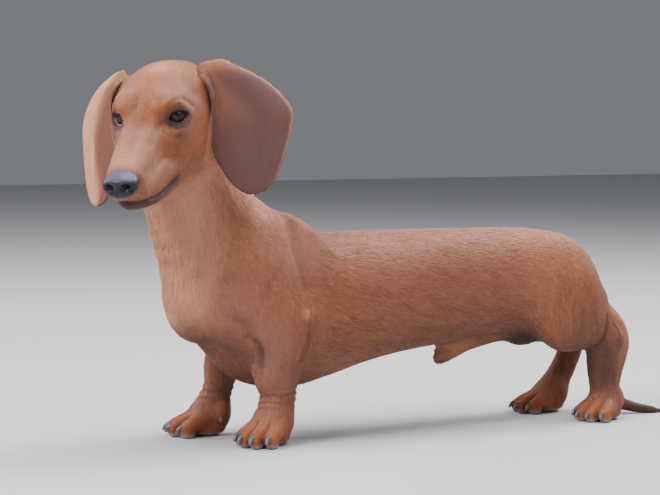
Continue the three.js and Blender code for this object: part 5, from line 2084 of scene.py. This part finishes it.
@dataclass
class Eyes:
    """The eyeballs with their corneas, and the lids' dark margins."""

    place: EyePlace
    sunk: float = 0.35
    cornea: float = 0.55
    cornea_angle: float = 0.6
    rows: int = 56
    around: int = 72
    half_margin: tuple = (8.75, 6.6)
    margin_radii: tuple = (1.1, 1.265)

    def ball(self, side: int, material: Material) -> Piece:
        """An eyeball: r = radius - sunk + cornea exp(-(angle / cornea angle)^2), turned about its axis.

        Args:
            side: LEFT or RIGHT.
            material: the eye's finish.

        Returns:
            The piece.
        """
        polar = np.linspace(0.004, np.pi - 0.004, self.rows)
        turn = np.linspace(0, 2 * np.pi, self.around, endpoint=False)
        angle, turn = np.meshgrid(polar, turn, indexing="ij")
        r = self.place.radius - self.sunk + self.cornea * bell(angle, self.cornea_angle)
        shape = np.stack([
            r * np.cos(angle), r * np.sin(angle) * np.cos(turn), r * np.sin(angle) * np.sin(turn),
        ], -1)
        points, faces = tube(self.place.turned(side).outside(shape))
        name = SIDE_NAMES[side]
        piece = put_mesh("eyeball_" + name, points, faces, material)
        polar = np.append(angle.ravel(), [0.0, np.pi])
        put_values(piece, {"polar": polar})
        uv = np.stack([np.append(turn.ravel() / (2 * np.pi), [0, 0]), polar / np.pi], 1)
        put_uv(piece, "Rays", uv, faces)
        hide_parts("eye_" + name)
        return piece

    def margin(self, side: int, material: Material) -> Piece:
        """The margin: a thin tube along the almond opening, with a point for the tear duct.

        Args:
            side: LEFT or RIGHT.
            material: the margin's finish.

        Returns:
            The piece.
        """
        half, tall = self.half_margin
        radius = (half**2 + tall**2) / (2 * tall)
        swing = np.arcsin(half / radius)
        t = np.linspace(-1, 1, 40, endpoint=False)
        arc = np.stack([radius * np.sin(swing * t), radius * np.cos(swing * t) - (radius - tall)], 1)
        loop = np.vstack([arc, -arc])
        out = self.place.radius + self.sunk
        line = np.column_stack([np.sqrt(out**2 - (loop**2).sum(1)), loop])
        along = unit(np.roll(line, -1, 0) - np.roll(line, 1, 0))
        lift = unit(line)
        flat = unit(np.cross(along, lift))
        angle = np.linspace(0, 2 * np.pi, 10, endpoint=False)
        thick, wide = self.margin_radii
        rings = (line[:, None] + thick * np.cos(angle)[None, :, None] * lift[:, None]
                 + wide * np.sin(angle)[None, :, None] * flat[:, None])
        points = self.place.turned(side).outside(rings.reshape(-1, 3))
        count, sides = rings.shape[:2]
        faces = facing_out(points, sheet_faces(count + 1, sides) % len(points))
        piece = put_mesh("lid_margin_" + SIDE_NAMES[side], points, faces, material)
        # lower: where the margin gets its painted reflection.
        put_values(piece, {"lower": ramp(-rings[..., 2].ravel(), 0.5, 4)})
        return piece


@dataclass
class Nose:
    """The nose pad with its nostrils and the groove below them."""

    shape: NoseShape

    def build(self, material: Material) -> Piece:
        """The pad: rings of its table, pushed in along the nostrils' commas and the groove.

        Args:
            material: the nose's finish.

        Returns:
            The piece.
        """
        table = densify(self.shape.rings, 12)
        around = 112
        angle = np.linspace(0, 2 * np.pi, around, endpoint=False)[None]
        x, half, tall, middle = (table[:, i][:, None] for i in range(4))
        across, up = (np.sign(turn) * np.abs(turn) ** 0.8 for turn in (np.cos(angle), np.sin(angle)))
        squeeze = 1 - self.shape.narrowing * np.maximum(-up, 0) ** 1.5
        rings = np.stack([x * np.ones_like(angle), half * across * squeeze, middle + tall * up], -1)
        closing = np.linspace(0.8, 0.0, 5)[:, None, None]
        centre = rings[-1].mean(0)
        last = centre + (rings[-1] - centre) * (closing + 0.02)
        last[..., 0] = rings[-1][..., 0] + 0.25 * (1 - closing[..., 0] ** 2)
        rings = np.concatenate([rings, last])
        flat = rings.reshape(-1, 3)
        rings = (flat + self.push(flat)).reshape(rings.shape)
        points, faces = tube(HEAD.outside(rings))
        piece = put_mesh("nose_leather", points, faces, material)
        local = HEAD.inside(points)
        # top marks where the pad faces up, for its painted reflection; pit marks the nostrils, for their
        # painted shade.
        top = ramp(local[:, 2], -19, -12.5) * (1 - 0.6 * ramp(local[:, 0], 88, 93))
        put_values(piece, {"top": top, "pit": self.pits(local)})
        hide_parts("nose")
        return piece

    def pits(self, q: Array) -> Array:
        """How near points are to the nostrils' middles, 0 to 1, by a stretched bell."""
        away = np.stack([(q[:, 0] - 92.5) / 2.4, (np.abs(q[:, 1]) - 7.6) / 1.3, q[:, 2] + 20.2], 1)
        return bell(np.linalg.norm(away, axis=1), 3.2)

    def push(self, q: Array) -> Array:
        """Moves of the pad's points: pits and slits go back and inwards by bells of distance.

        Args:
            q: points in the head's frame.

        Returns:
            The moves.
        """
        side = np.where(q[:, 1] >= 0, 1.0, -1.0)
        aside = np.abs(q[:, 1])
        pit = self.pits(q)
        slit = bell(q[:, 2] + 21.9 + 0.5 * (aside - 9), 0.9)
        slit = slit * ramp(aside, 8, 10) * (1 - ramp(aside, 14.5, 16)) * ramp(q[:, 0], 80, 85)
        wing = bell(np.hypot(aside - 11, q[:, 2] + 17.5), 3.2) * ramp(q[:, 0], 82, 88)
        rim = bell(np.hypot((aside - 7.2) / 1.2, q[:, 2] + 25), 2.2) * ramp(q[:, 0], 88, 92)
        groove = bell(q[:, 1], 0.85) * (1 - ramp(q[:, 2], -22, -17)) * ramp(q[:, 0], 84, 89)
        zero = np.zeros(len(q))
        return np.stack([-5.2 * pit - 1.0 * slit + 0.5 * wing + 0.4 * rim - 0.9 * groove,
                         side * (-0.5 * pit - 1.3 * slit + 0.3 * wing), zero], 1)


@dataclass
class Claws:
    """The claws of the four feet and the two dewclaws, each on its curved, tapered line."""

    radius: float = 3.2
    dewclaw_radius: float = 2.0
    taper: float = 0.66
    around: int = 16

    def horn(self, line: list, radius: float, place: Turned) -> tuple:
        """A claw: width = radius (1 - taper s) along a quadratic curve, with a rounded end.

        Args:
            line: the root, the bend and the tip.
            radius: its half width at the root.
            place: the frame that the points are in.

        Returns:
            Its points, its faces and each point's share along it.
        """
        root, bend, tip = (np.array(p, float) for p in line)
        s = 1 - (1 - np.linspace(0, 1, 16)[:, None]) ** 1.4
        centre = (1 - s) ** 2 * root + 2 * s * (1 - s) * bend + s**2 * tip
        along = unit(2 * (1 - s) * (bend - root) + 2 * s * (tip - bend))
        v = unit(np.array([0, 1, 0]) - along[:, 1:2] * along)
        u = np.cross(v, along)
        round_end = np.sqrt(np.clip((1 - s) * 7, 0.004, 1))
        width = radius * (1 - self.taper * s) * round_end
        angle = np.linspace(0, 2 * np.pi, self.around, endpoint=False)[None, :, None]
        rings = (centre[:, None] + 1.15 * width[:, None] * np.cos(angle) * u[:, None]
                 + width[:, None] * np.sin(angle) * v[:, None])
        points, faces = tube(place.outside(rings))
        share = np.append(np.repeat(s.ravel(), self.around), [0.0, 1.0])
        return points, faces, share

    def join(self, name: str, parts: list, nodes: tuple, material: Material) -> Piece:
        """Several claws as one piece.

        Args:
            name: the piece's name.
            parts: the claws' points, faces and shares.
            nodes: the nodes they stand for.
            material: the horn's finish.

        Returns:
            The piece.
        """
        offsets = np.cumsum([0] + [len(points) for points, _, _ in parts[:-1]])
        points = np.vstack([part[0] for part in parts])
        faces = np.vstack([part[1] + offset for part, offset in zip(parts, offsets)])
        piece = put_mesh(name, points, faces, material)
        put_values(piece, {"along": np.concatenate([part[2] for part in parts])})
        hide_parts(*nodes)
        return piece

    def build(self, anatomy: Anatomy, material: Material) -> list:
        """Every foot's claws and the dewclaws.

        Args:
            anatomy: the masses, for the dewclaws' places.
            material: the horn's finish.

        Returns:
            The pieces.
        """
        pieces = []
        for paw in PAWS:
            parts = []
            for toe in TOES:
                x, y, z = toe.tip()
                away = toe.spread * 6
                line = [(x + 1, y, z + 2.2), (x + 6.5, y + away / 2, z + 2.3), (x + 9, y + away, z - 3.4)]
                parts.append(self.horn(line, self.radius, paw.turned()))
            nodes = tuple(f"claw_{paw.name}_{i}" for i in range(1, 5))
            pieces.append(self.join("claws_" + paw.name, parts, nodes, material))
        for side in SIDES:
            x, y, z = anatomy.dewclaw_at(side)
            line = [
                (x - 1, y - side * 2, z - 3), (x - 4, y - side * 5.5, z - 6.5),
                (x - 3.5, y - side * 5, z - 9.5),
            ]
            part = self.horn(line, self.dewclaw_radius, Turned(np.eye(3), np.zeros(3)))
            name = "dewclaw_" + SIDE_NAMES[side]
            pieces.append(self.join(name + "_horn", [part], (name,), material))
        return pieces


# Coat


STATIONS = (0.0, 0.5, 1.0)
TUFT_POINTS = 7
TUFT_FACES = (
    (4, 3, 6), (5, 4, 6), (3, 5, 6), (0, 1, 2), (1, 0, 3), (1, 3, 4), (2, 1, 4), (2, 4, 5), (0, 2, 5),
    (0, 5, 3),
)


@dataclass
class Tufts:
    """Laid tufts: roots, the skin's normals, the way they lie and their sizes in mm, by tuft.

    The arch holds a, b and c of the height, and how deep in mm the root is sunk.
    """

    place: Array
    normals: Array
    lie: Array
    length: Array
    width: Array
    lift: Array
    arch: tuple
    tip_lean: float

    def points(self, off: callable) -> Array:
        """Seven points a tuft: left, ridge and right at the root and half way, then the tip.

        At the share s along a tuft, it stands lift (a + b s - c s^2) over the skin and is
        width (1 - s^1.7) wide.

        Args:
            off: how far points stand off the skin.

        Returns:
            An array by tuft, point and x, y, z.
        """
        a, b, c, sunk = self.arch
        across = np.cross(self.normals, self.lie)
        rows = []
        for s in STATIONS:
            centre = self.place + self.lie * (s * self.length)[:, None]
            height = self.lift * (a + b * s - c * s * s) - (off(centre) if s else sunk)
            centre = centre + self.normals * height[:, None]
            half = (self.width / 2 * (1 - s**1.7))[:, None]
            top = centre + self.normals * (0.2 * self.width * (1 - 0.6 * s))[:, None]
            rows += [centre - across * half, top, centre + across * half] if s < 1 else [centre]
        return np.stack(rows, 1)

    def facing(self) -> Array:
        """The points' normals: turned out a little at the sides, and along the lie at the tip.

        Returns:
            An array by tuft, point and x, y, z.
        """
        across = np.cross(self.normals, self.lie)
        sides = [unit(self.normals - 0.4 * across), self.normals, unit(self.normals + 0.4 * across)]
        return np.stack(sides * 2 + [unit(self.normals + self.tip_lean * self.lie)], 1)


def put_tufts(name: str, made: dict, material: Material) -> Piece:
    """A piece of tufts, each a three-sided spike, with marks and small places on the bake's map.

    Args:
        name: the piece's name.
        made: points, facing, marks and uv by name, each by tuft.
        material: the finish on tufts.

    Returns:
        The piece.
    """
    points = made["points"].reshape(-1, 3)
    points[:, 2] = np.maximum(points[:, 2], 0.05)
    count = len(made["uv"])
    first = TUFT_POINTS * np.arange(count)[:, None, None]
    faces = (np.array(TUFT_FACES) + first).reshape(-1, 3)
    piece = put_mesh(name, points, faces, material)
    piece.data.normals_split_custom_set_from_vertices(made["facing"].reshape(-1, 3))
    along = np.tile(np.repeat(STATIONS, [3, 3, 1]), count)
    marks = {key: np.repeat(value, TUFT_POINTS) for key, value in made["marks"].items()}
    put_values(piece, marks | {"along": along})
    aside = np.tile([-0.5, 0, 0.5, -0.5, 0, 0.5, 0], count)
    uv = np.repeat(made["uv"], TUFT_POINTS, axis=0) + 0.003 * np.stack([along - 0.5, aside], 1)
    put_uv(piece, "OFBake", np.clip(uv, 0, 1), faces)
    return piece


@dataclass(frozen=True)
class Fur:
    """A region's tufts: their length, width, lift off the skin and how close they stand."""

    length: float
    width: float
    lift: float
    per_cm2: float


@dataclass
class Coat:
    """Thin tufts that lie flat over the skin and break its outline."""

    skin: Skin
    lie: Lie
    marks_and_light: MarksAndPaintedLight
    most: int = 19800
    arch: tuple = (0.25, 1.25, 0.75, 0.4)
    stray: float = 0.13
    muzzle_trim: float = 0.35
    raised: float = 1.5
    raised_share: float = 0.06
    rng: np.random.Generator = field(default_factory=lambda: np.random.default_rng(20))
    kinds = {
        "trunk": Fur(7.5, 0.85, 0.6, 30), "neck": Fur(8.5, 0.85, 0.9, 36),
        "fore": Fur(4.4, 0.7, 0.36, 44), "hind": Fur(4.8, 0.72, 0.42, 42),
        "tail": Fur(5.5, 0.75, 0.65, 50), "paws": Fur(2.7, 0.55, 0.24, 66), "head": Fur(3.1, 0.5, 0.26, 76),
    }
    spreads = {"length": (0.72, 1.2), "width": (0.75, 1.2), "lift": (0.6, 1.35)}

    def blend(self, shares: dict, key: str) -> Array:
        """A size of the tufts, weighed between regions."""
        return sum(shares[name] * getattr(kind, key) for name, kind in self.kinds.items())

    def roots(self) -> tuple:
        """Places on the skin's faces, picked by area and by how close the region's tufts stand.

        Returns:
            The faces, as rows of four vertex numbers, and the places.
        """
        skin = self.skin
        corner = skin.points[skin.quads]
        cross = np.cross(corner[:, 2] - corner[:, 0], corner[:, 3] - corner[:, 1])
        area = np.linalg.norm(cross, axis=1) / 2
        close = self.blend(skin.shares, "per_cm2")[skin.quads].mean(1) / 100
        want = area * close * 1.0
        count = np.floor(want + self.rng.random(len(want))).astype(int)
        quad = np.repeat(skin.quads, count, axis=0)
        u, v = self.rng.random(len(quad))[:, None], self.rng.random(len(quad))[:, None]
        a, b, c, d = (skin.points[quad[:, i]] for i in range(4))
        return quad, a * (1 - u) * (1 - v) + b * u * (1 - v) + c * u * v + d * (1 - u) * v

    def keep(self, place: Array, normals: Array) -> Array:
        """Which roots bear hair: not on soles, in the eyes' openings, on the nose or in the mouth.

        Args:
            place: the roots.
            normals: their normals.

        Returns:
            True where a tuft grows.
        """
        q = HEAD.inside(place)
        good = ~((place[:, 2] < 4.6) & (normals[:, 2] < 0.1))
        good &= self.skin.nose.depth(q) > 1.0
        for side in SIDES:
            e = EYE.turned(side).inside(place)
            good &= ~((np.hypot(e[:, 1] / 1.3, e[:, 2]) < 8.0) & (e[:, 0] > 0))
        lip = lip_height(q[:, 0])
        mouth = (np.abs(q[:, 2] - lip) < 1.5) & (q[:, 0] > 12) & (q[:, 2] < -30)
        return good & ~mouth

    def tufts(self) -> dict:
        """All tufts' points, marks and bake places.

        Returns:
            Arrays by name, each with a row for each tuft.
        """
        quad, place = self.roots()
        normals = unit(self.skin.normals[quad].mean(1))
        good = self.keep(place, normals)
        quad, place, normals = quad[good], place[good], normals[good]
        shares = {name: share[quad].mean(1) for name, share in self.skin.shares.items()}
        lie = self.lie.at(place, normals, shares)
        turn = self.rng.normal(0, self.stray, len(place))[:, None]
        lie = unit(lie + np.cross(normals, lie) * turn)
        length, width, lift = (
            self.blend(shares, key) * self.rng.uniform(*ends, len(place))
            for key, ends in self.spreads.items()
        )
        q = HEAD.inside(place)
        length = length * (1 - self.muzzle_trim * shares["head"] * ramp(q[:, 0], 10, 60))
        raised = self.rng.random(len(place)) < self.raised_share
        lift = lift * np.where(raised, self.raised, 1.0)
        laid = Tufts(place, normals, lie, length, width, lift, self.arch, 0.3)
        marks = self.marks_and_light.at(place, normals, shares)
        marks["tone"] = self.rng.uniform(-1, 1, len(place))
        region = np.array(list(self.kinds))[np.stack([shares[name] for name in self.kinds], 1).argmax(1)]
        side = np.where(region == "head", -np.sign(q[:, 1] + 1e-6), np.sign(place[:, 1] + 1e-6))
        return {
            "points": laid.points(lambda centre: self.surface_depth(centre, shares)),
            "facing": laid.facing(), "marks": marks, "uv": self.unwrap(place, normals, region),
            "region": region, "side": np.where(region == "tail", LEFT, side), "x": place[:, 0],
        }

    def surface_depth(self, points: Array, shares: dict) -> Array:
        """How far points stand off the folded skin, along its normal, held to 3 mm.

        Args:
            points: rows of x, y, z near the skin.
            shares: the regions' shares of them.

        Returns:
            The distances, negative inside.
        """
        chunks = np.array_split(points, max(1, len(points) // 40000))
        depth = np.concatenate([self.skin.base(chunk) for chunk in chunks])
        return np.clip(depth - self.skin.folds(points, shares), -3, 3)

    def unwrap(self, place: Array, normals: Array, region: Array) -> Array:
        """Where a root lies on the skin's unwrap: sides of body and head laid flat, legs rolled out.

        Args:
            place: the roots.
            normals: their normals.
            region: their regions' names.

        Returns:
            Rows of u, v between 0 and 1.
        """
        x, y, z = place.T
        right = normals[:, 1] > 0
        body = np.stack([0.02 + 0.5 * right + (x + 100) * 0.00085, 0.66 + z * 0.00095], 1)
        q = HEAD.inside(place)
        head_u = 0.02 + 0.5 * (q[:, 1] > 0) + (q[:, 0] + 100) * 0.0022
        head = np.stack([head_u, 0.02 + (q[:, 2] + 100) * 0.0021], 1)
        hind = x > 180
        leg_middle = np.stack([np.where(hind, 345.0, 0.0), np.where(y > 0, 40.0, -40.0)], 1)
        round_leg = np.arctan2(y - leg_middle[:, 1], x - leg_middle[:, 0]) / (2 * np.pi) + 0.5
        number = 2 * hind + (y > 0)
        leg = np.stack([0.02 + 0.2 * number + 0.18 * round_leg, 0.34 + z * 0.0022], 1)
        tail = np.stack([0.84 + 0.14 * (np.arctan2(y, x - 398) / (2 * np.pi) + 0.5), 0.34 + z * 0.0018], 1)
        uv = np.where((region == "head")[:, None], head, body)
        low = (z < 118) & np.isin(region, ("fore", "hind", "paws"))
        uv = np.where(low[:, None], leg, uv)
        uv = np.where((region == "tail")[:, None], tail, uv)
        return np.clip(uv, 0.005, 0.995)

    def build(self, material: Material) -> list:
        """The coat's pieces, region by region and side by side, cut across x to stay small.

        Args:
            material: the coat's finish on tufts.

        Returns:
            The pieces.
        """
        made = self.tufts()
        pieces = []
        for name in self.kinds:
            for side in SIDES:
                spots = np.nonzero((made["region"] == name) & (made["side"] == side))[0]
                order = spots[np.argsort(made["x"][spots], kind="stable")]
                cut = int(np.ceil(len(spots) / self.most))
                for i, some in enumerate(np.array_split(order, cut) if cut else []):
                    part = {key: made[key][some] for key in ("points", "facing", "uv")}
                    part["marks"] = {key: value[some] for key, value in made["marks"].items()}
                    label = f"coat_{name}_{SIDE_NAMES[side]}_{i + 1}"
                    pieces.append(put_tufts(label, part, material))
        return pieces


@dataclass
class EarCoat:
    """Short tufts on both faces of an ear and a fringe along its rim."""

    ear: Ear
    count: int = 4400
    quick_count: int = 2000
    arch: tuple = (0.3, 1.2, 0.7, 0.3)

    def build(self, material: Material) -> Piece:
        """The tufts: roots by even chance over the leaf, lying down it and out over the rim.

        Args:
            material: the ear's finish on tufts.

        Returns:
            The piece.
        """
        shape = self.ear.shape
        rng = np.random.default_rng(40 + shape.side)
        count = self.count
        fringe = 3 * count // 5
        s = rng.uniform(0.03, 0.97, count)
        e = rng.uniform(-0.97, 0.97, count)
        e[:fringe] = rng.uniform(0.9, 0.995, fringe) * rng.choice([1, 1, -1], fringe)
        out = np.where(rng.random(count) < 0.62, 1, -1)
        place = self.spot(s, e, out)
        normal = unit(np.cross(self.spot(s, e + 0.01, out) - place, self.spot(s + 0.004, e, out) - place))
        face_way, back_way = shape.turned().outward([0, 0, 1]), shape.turned().outward([0, 1, 0])
        normal = normal * np.sign(normal @ face_way)[:, None] * out[:, None]
        down = unit(self.spot(np.minimum(s + 0.02, 0.999), e, out) - place)
        across = np.cross(normal, down)
        aside = unit(across) * np.sign(across @ back_way)[:, None]
        lean = 0.5 * ramp(np.abs(e), 0.75, 1) * np.sign(e) + rng.normal(0, 0.12, count)
        lie = unit(down + aside * lean[:, None])
        ends = ((1.6, 3.0), (0.35, 0.55), (0.05, 0.18))
        length, width, lift = (rng.uniform(low, high, count) for low, high in ends)
        laid = Tufts(place, normal, lie, length, width, lift, self.arch, 0.0)
        made = {
            "points": laid.points(lambda centre: 0.0), "facing": laid.facing(),
            "marks": self.ear.marks(place) | {"tone": rng.uniform(-1, 1, count)},
            "uv": np.stack([0.25 + 0.22 * e + 0.5 * (out > 0), 0.03 + 0.94 * s], 1),
        }
        return put_tufts("coat_ear_" + SIDE_NAMES[shape.side], made, material)

    def spot(self, s: Array, e: Array, out: Array) -> Array:
        """Points on the leaf in the dog's frame.

        Args:
            s: the place down the leaf, 0 to 1.
            e: the place across it, -1 to 1.
            out: 1 for the outer face, -1 for the inner one.

        Returns:
            The points.
        """
        outer = self.ear.surface(s, np.clip(e, -1, 1), 1)
        inner = self.ear.surface(s, np.clip(e, -1, 1), -1)
        local = np.where((out > 0)[:, None], outer, inner)
        return self.ear.shape.turned().outside(local)


# Stage


@dataclass(frozen=True)
class Studio:
    """A pale floor, soft lights and the camera at the photo's angle."""

    turn: float = 26.4
    focal_px: float = 2248.0
    frame_px: tuple = (660, 495)
    horizon_px: float = 100.0
    at: tuple = (-838.0, -1859.0, 309.0)
    target: tuple = (0, 0, 0.18)
    half_floor: float = 6.0
    lamps: tuple = (
        ("key", (-2.0, -0.6, 1.8), 0.8, 60.0, (1.0, 0.97, 0.93)),
        ("top", (0.2, -0.1, 2.3), 2.2, 105.0, (0.93, 0.94, 1.0)),
        ("rim", (-1.6, 1.5, 1.5), 1.0, 42.0, (1.0, 0.96, 0.92)),
        ("rear", (1.9, 0.3, 1.7), 0.9, 56.0, (1.0, 0.97, 0.95)),
        ("fill", (0.6, -2.2, 0.9), 1.6, 5.0, (0.97, 0.98, 1.0)),
        ("catch", (0.17, -1.97, 0.91), 0.15, 2.5, (0.95, 0.97, 1.0)),
    )

    def camera(self) -> Piece:
        """The camera: turned by the dog's own turn from side-on, and pitched to the horizon.

        Returns:
            The camera.
        """
        data = bpy.data.cameras.new("camera")
        data.sensor_width = 36.0
        data.lens = self.focal_px / self.frame_px[0] * 36.0
        pitch = np.arctan((self.frame_px[1] / 2 - self.horizon_px) / self.focal_px)
        turn = np.radians(self.turn)
        look = np.array([np.sin(turn) * np.cos(pitch), np.cos(turn) * np.cos(pitch), -np.sin(pitch)])
        right = np.array([np.cos(turn), -np.sin(turn), 0.0])
        up = np.cross(right, look)
        camera = bpy.data.objects.new("camera", data)
        pose = np.eye(4)
        pose[:3, 0], pose[:3, 1], pose[:3, 2] = right, up, -look
        pose[:3, 3] = in_metres(self.at)
        camera.matrix_world = Matrix(pose.tolist())
        bpy.context.scene.collection.objects.link(camera)
        bpy.context.scene.camera = camera
        return camera

    def light(self, name: str, at: tuple, size: float, power: float, colour: tuple) -> Piece:
        """A square area light that looks at the dog's middle.

        Args:
            name: its name.
            at: its place in metres.
            size: its side in metres.
            power: its power in watts.
            colour: its colour.

        Returns:
            The light.
        """
        data = bpy.data.lights.new(name, "AREA")
        data.size = size
        data.energy = power
        data.color = colour
        lamp = bpy.data.objects.new(name, data)
        lamp.location = at
        lamp.rotation_euler = (Vector(self.target) - Vector(at)).to_track_quat("-Z", "Y").to_euler()
        bpy.context.scene.collection.objects.link(lamp)
        return lamp

    def build(self) -> None:
        """Floor, world, lights and camera."""
        side = self.half_floor
        corners = [(-side, -side, 0), (side, -side, 0), (side, side, 0), (-side, side, 0)]
        mesh = bpy.data.meshes.new("floor")
        mesh.from_pydata(corners, [], [(0, 1, 2, 3)])
        floor = bpy.data.objects.new("floor", mesh)
        bpy.context.scene.collection.objects.link(floor)
        material, g, shader = new_material("floor")
        g.feed(shader, {"Base Color": (0.5, 0.5, 0.51, 1), "Roughness": 0.85})
        mesh.materials.append(material)
        world = bpy.data.worlds.new("studio")
        bpy.context.scene.world = world
        world.use_nodes = True
        back = world.node_tree.nodes["Background"]
        Graph(world.node_tree).feed(back, {"Color": (0.78, 0.82, 0.88, 1), "Strength": 0.24})
        for lamp in self.lamps:
            self.light(*lamp)
        self.camera()


def main() -> None:
    """Builds the dog region by region, then the studio."""
    logging.basicConfig(level=logging.INFO, format="%(message)s")
    anatomy = Anatomy()
    nose_shape = NoseShape()
    skin = Skin(anatomy, nose_shape)
    skin.cast()
    log.info("skin cast: %d vertices, %d quads", len(skin.points), len(skin.quads))
    marks_and_light = MarksAndPaintedLight()
    streaks, marks = streak_group(), mark_and_light_group()
    skin_coat = CoatFinish("coat_skin").build(streaks, marks)
    tuft_coat = CoatFinish("coat_tufts", bump=0.15, tufted=True).build(streaks, marks)
    ear_dark = (0.10, 0.046, 0.046, 1)
    velvet = {"dark": ear_dark, "fineness": 1700.0, "contrast": 0.3}
    ear_skin = CoatFinish("ear_skin", bump=0.1, **velvet).build(streaks, marks)
    ear_tufts = CoatFinish("ear_tufts", bump=0.08, tufted=True, **velvet).build(streaks, marks)
    log.info("built %s", Flesh(skin, marks_and_light).build(skin_coat).name)
    for piece in Coat(skin, Lie(anatomy), marks_and_light).build(tuft_coat):
        log.info("built %s: %d triangles", piece.name, len(piece.data.polygons))
    for side in SIDES:
        ear = Ear(EAR_SHAPES[side], skin)
        log.info("built %s", ear.build(ear_skin).name)
        log.info("built %s", EarCoat(ear).build(ear_tufts).name)
    eyes = Eyes(EYE)
    eye_finish, lid_finish = EyeFinish().build(), LidFinish().build()
    for side in SIDES:
        log.info("built %s", eyes.ball(side, eye_finish).name)
        log.info("built %s", eyes.margin(side, lid_finish).name)
    log.info("built %s", Nose(nose_shape).build(NoseFinish().build()).name)
    for piece in Claws().build(anatomy, HornFinish().build()):
        log.info("built %s", piece.name)
    Studio().build()


if __name__ == "__main__":
    main()
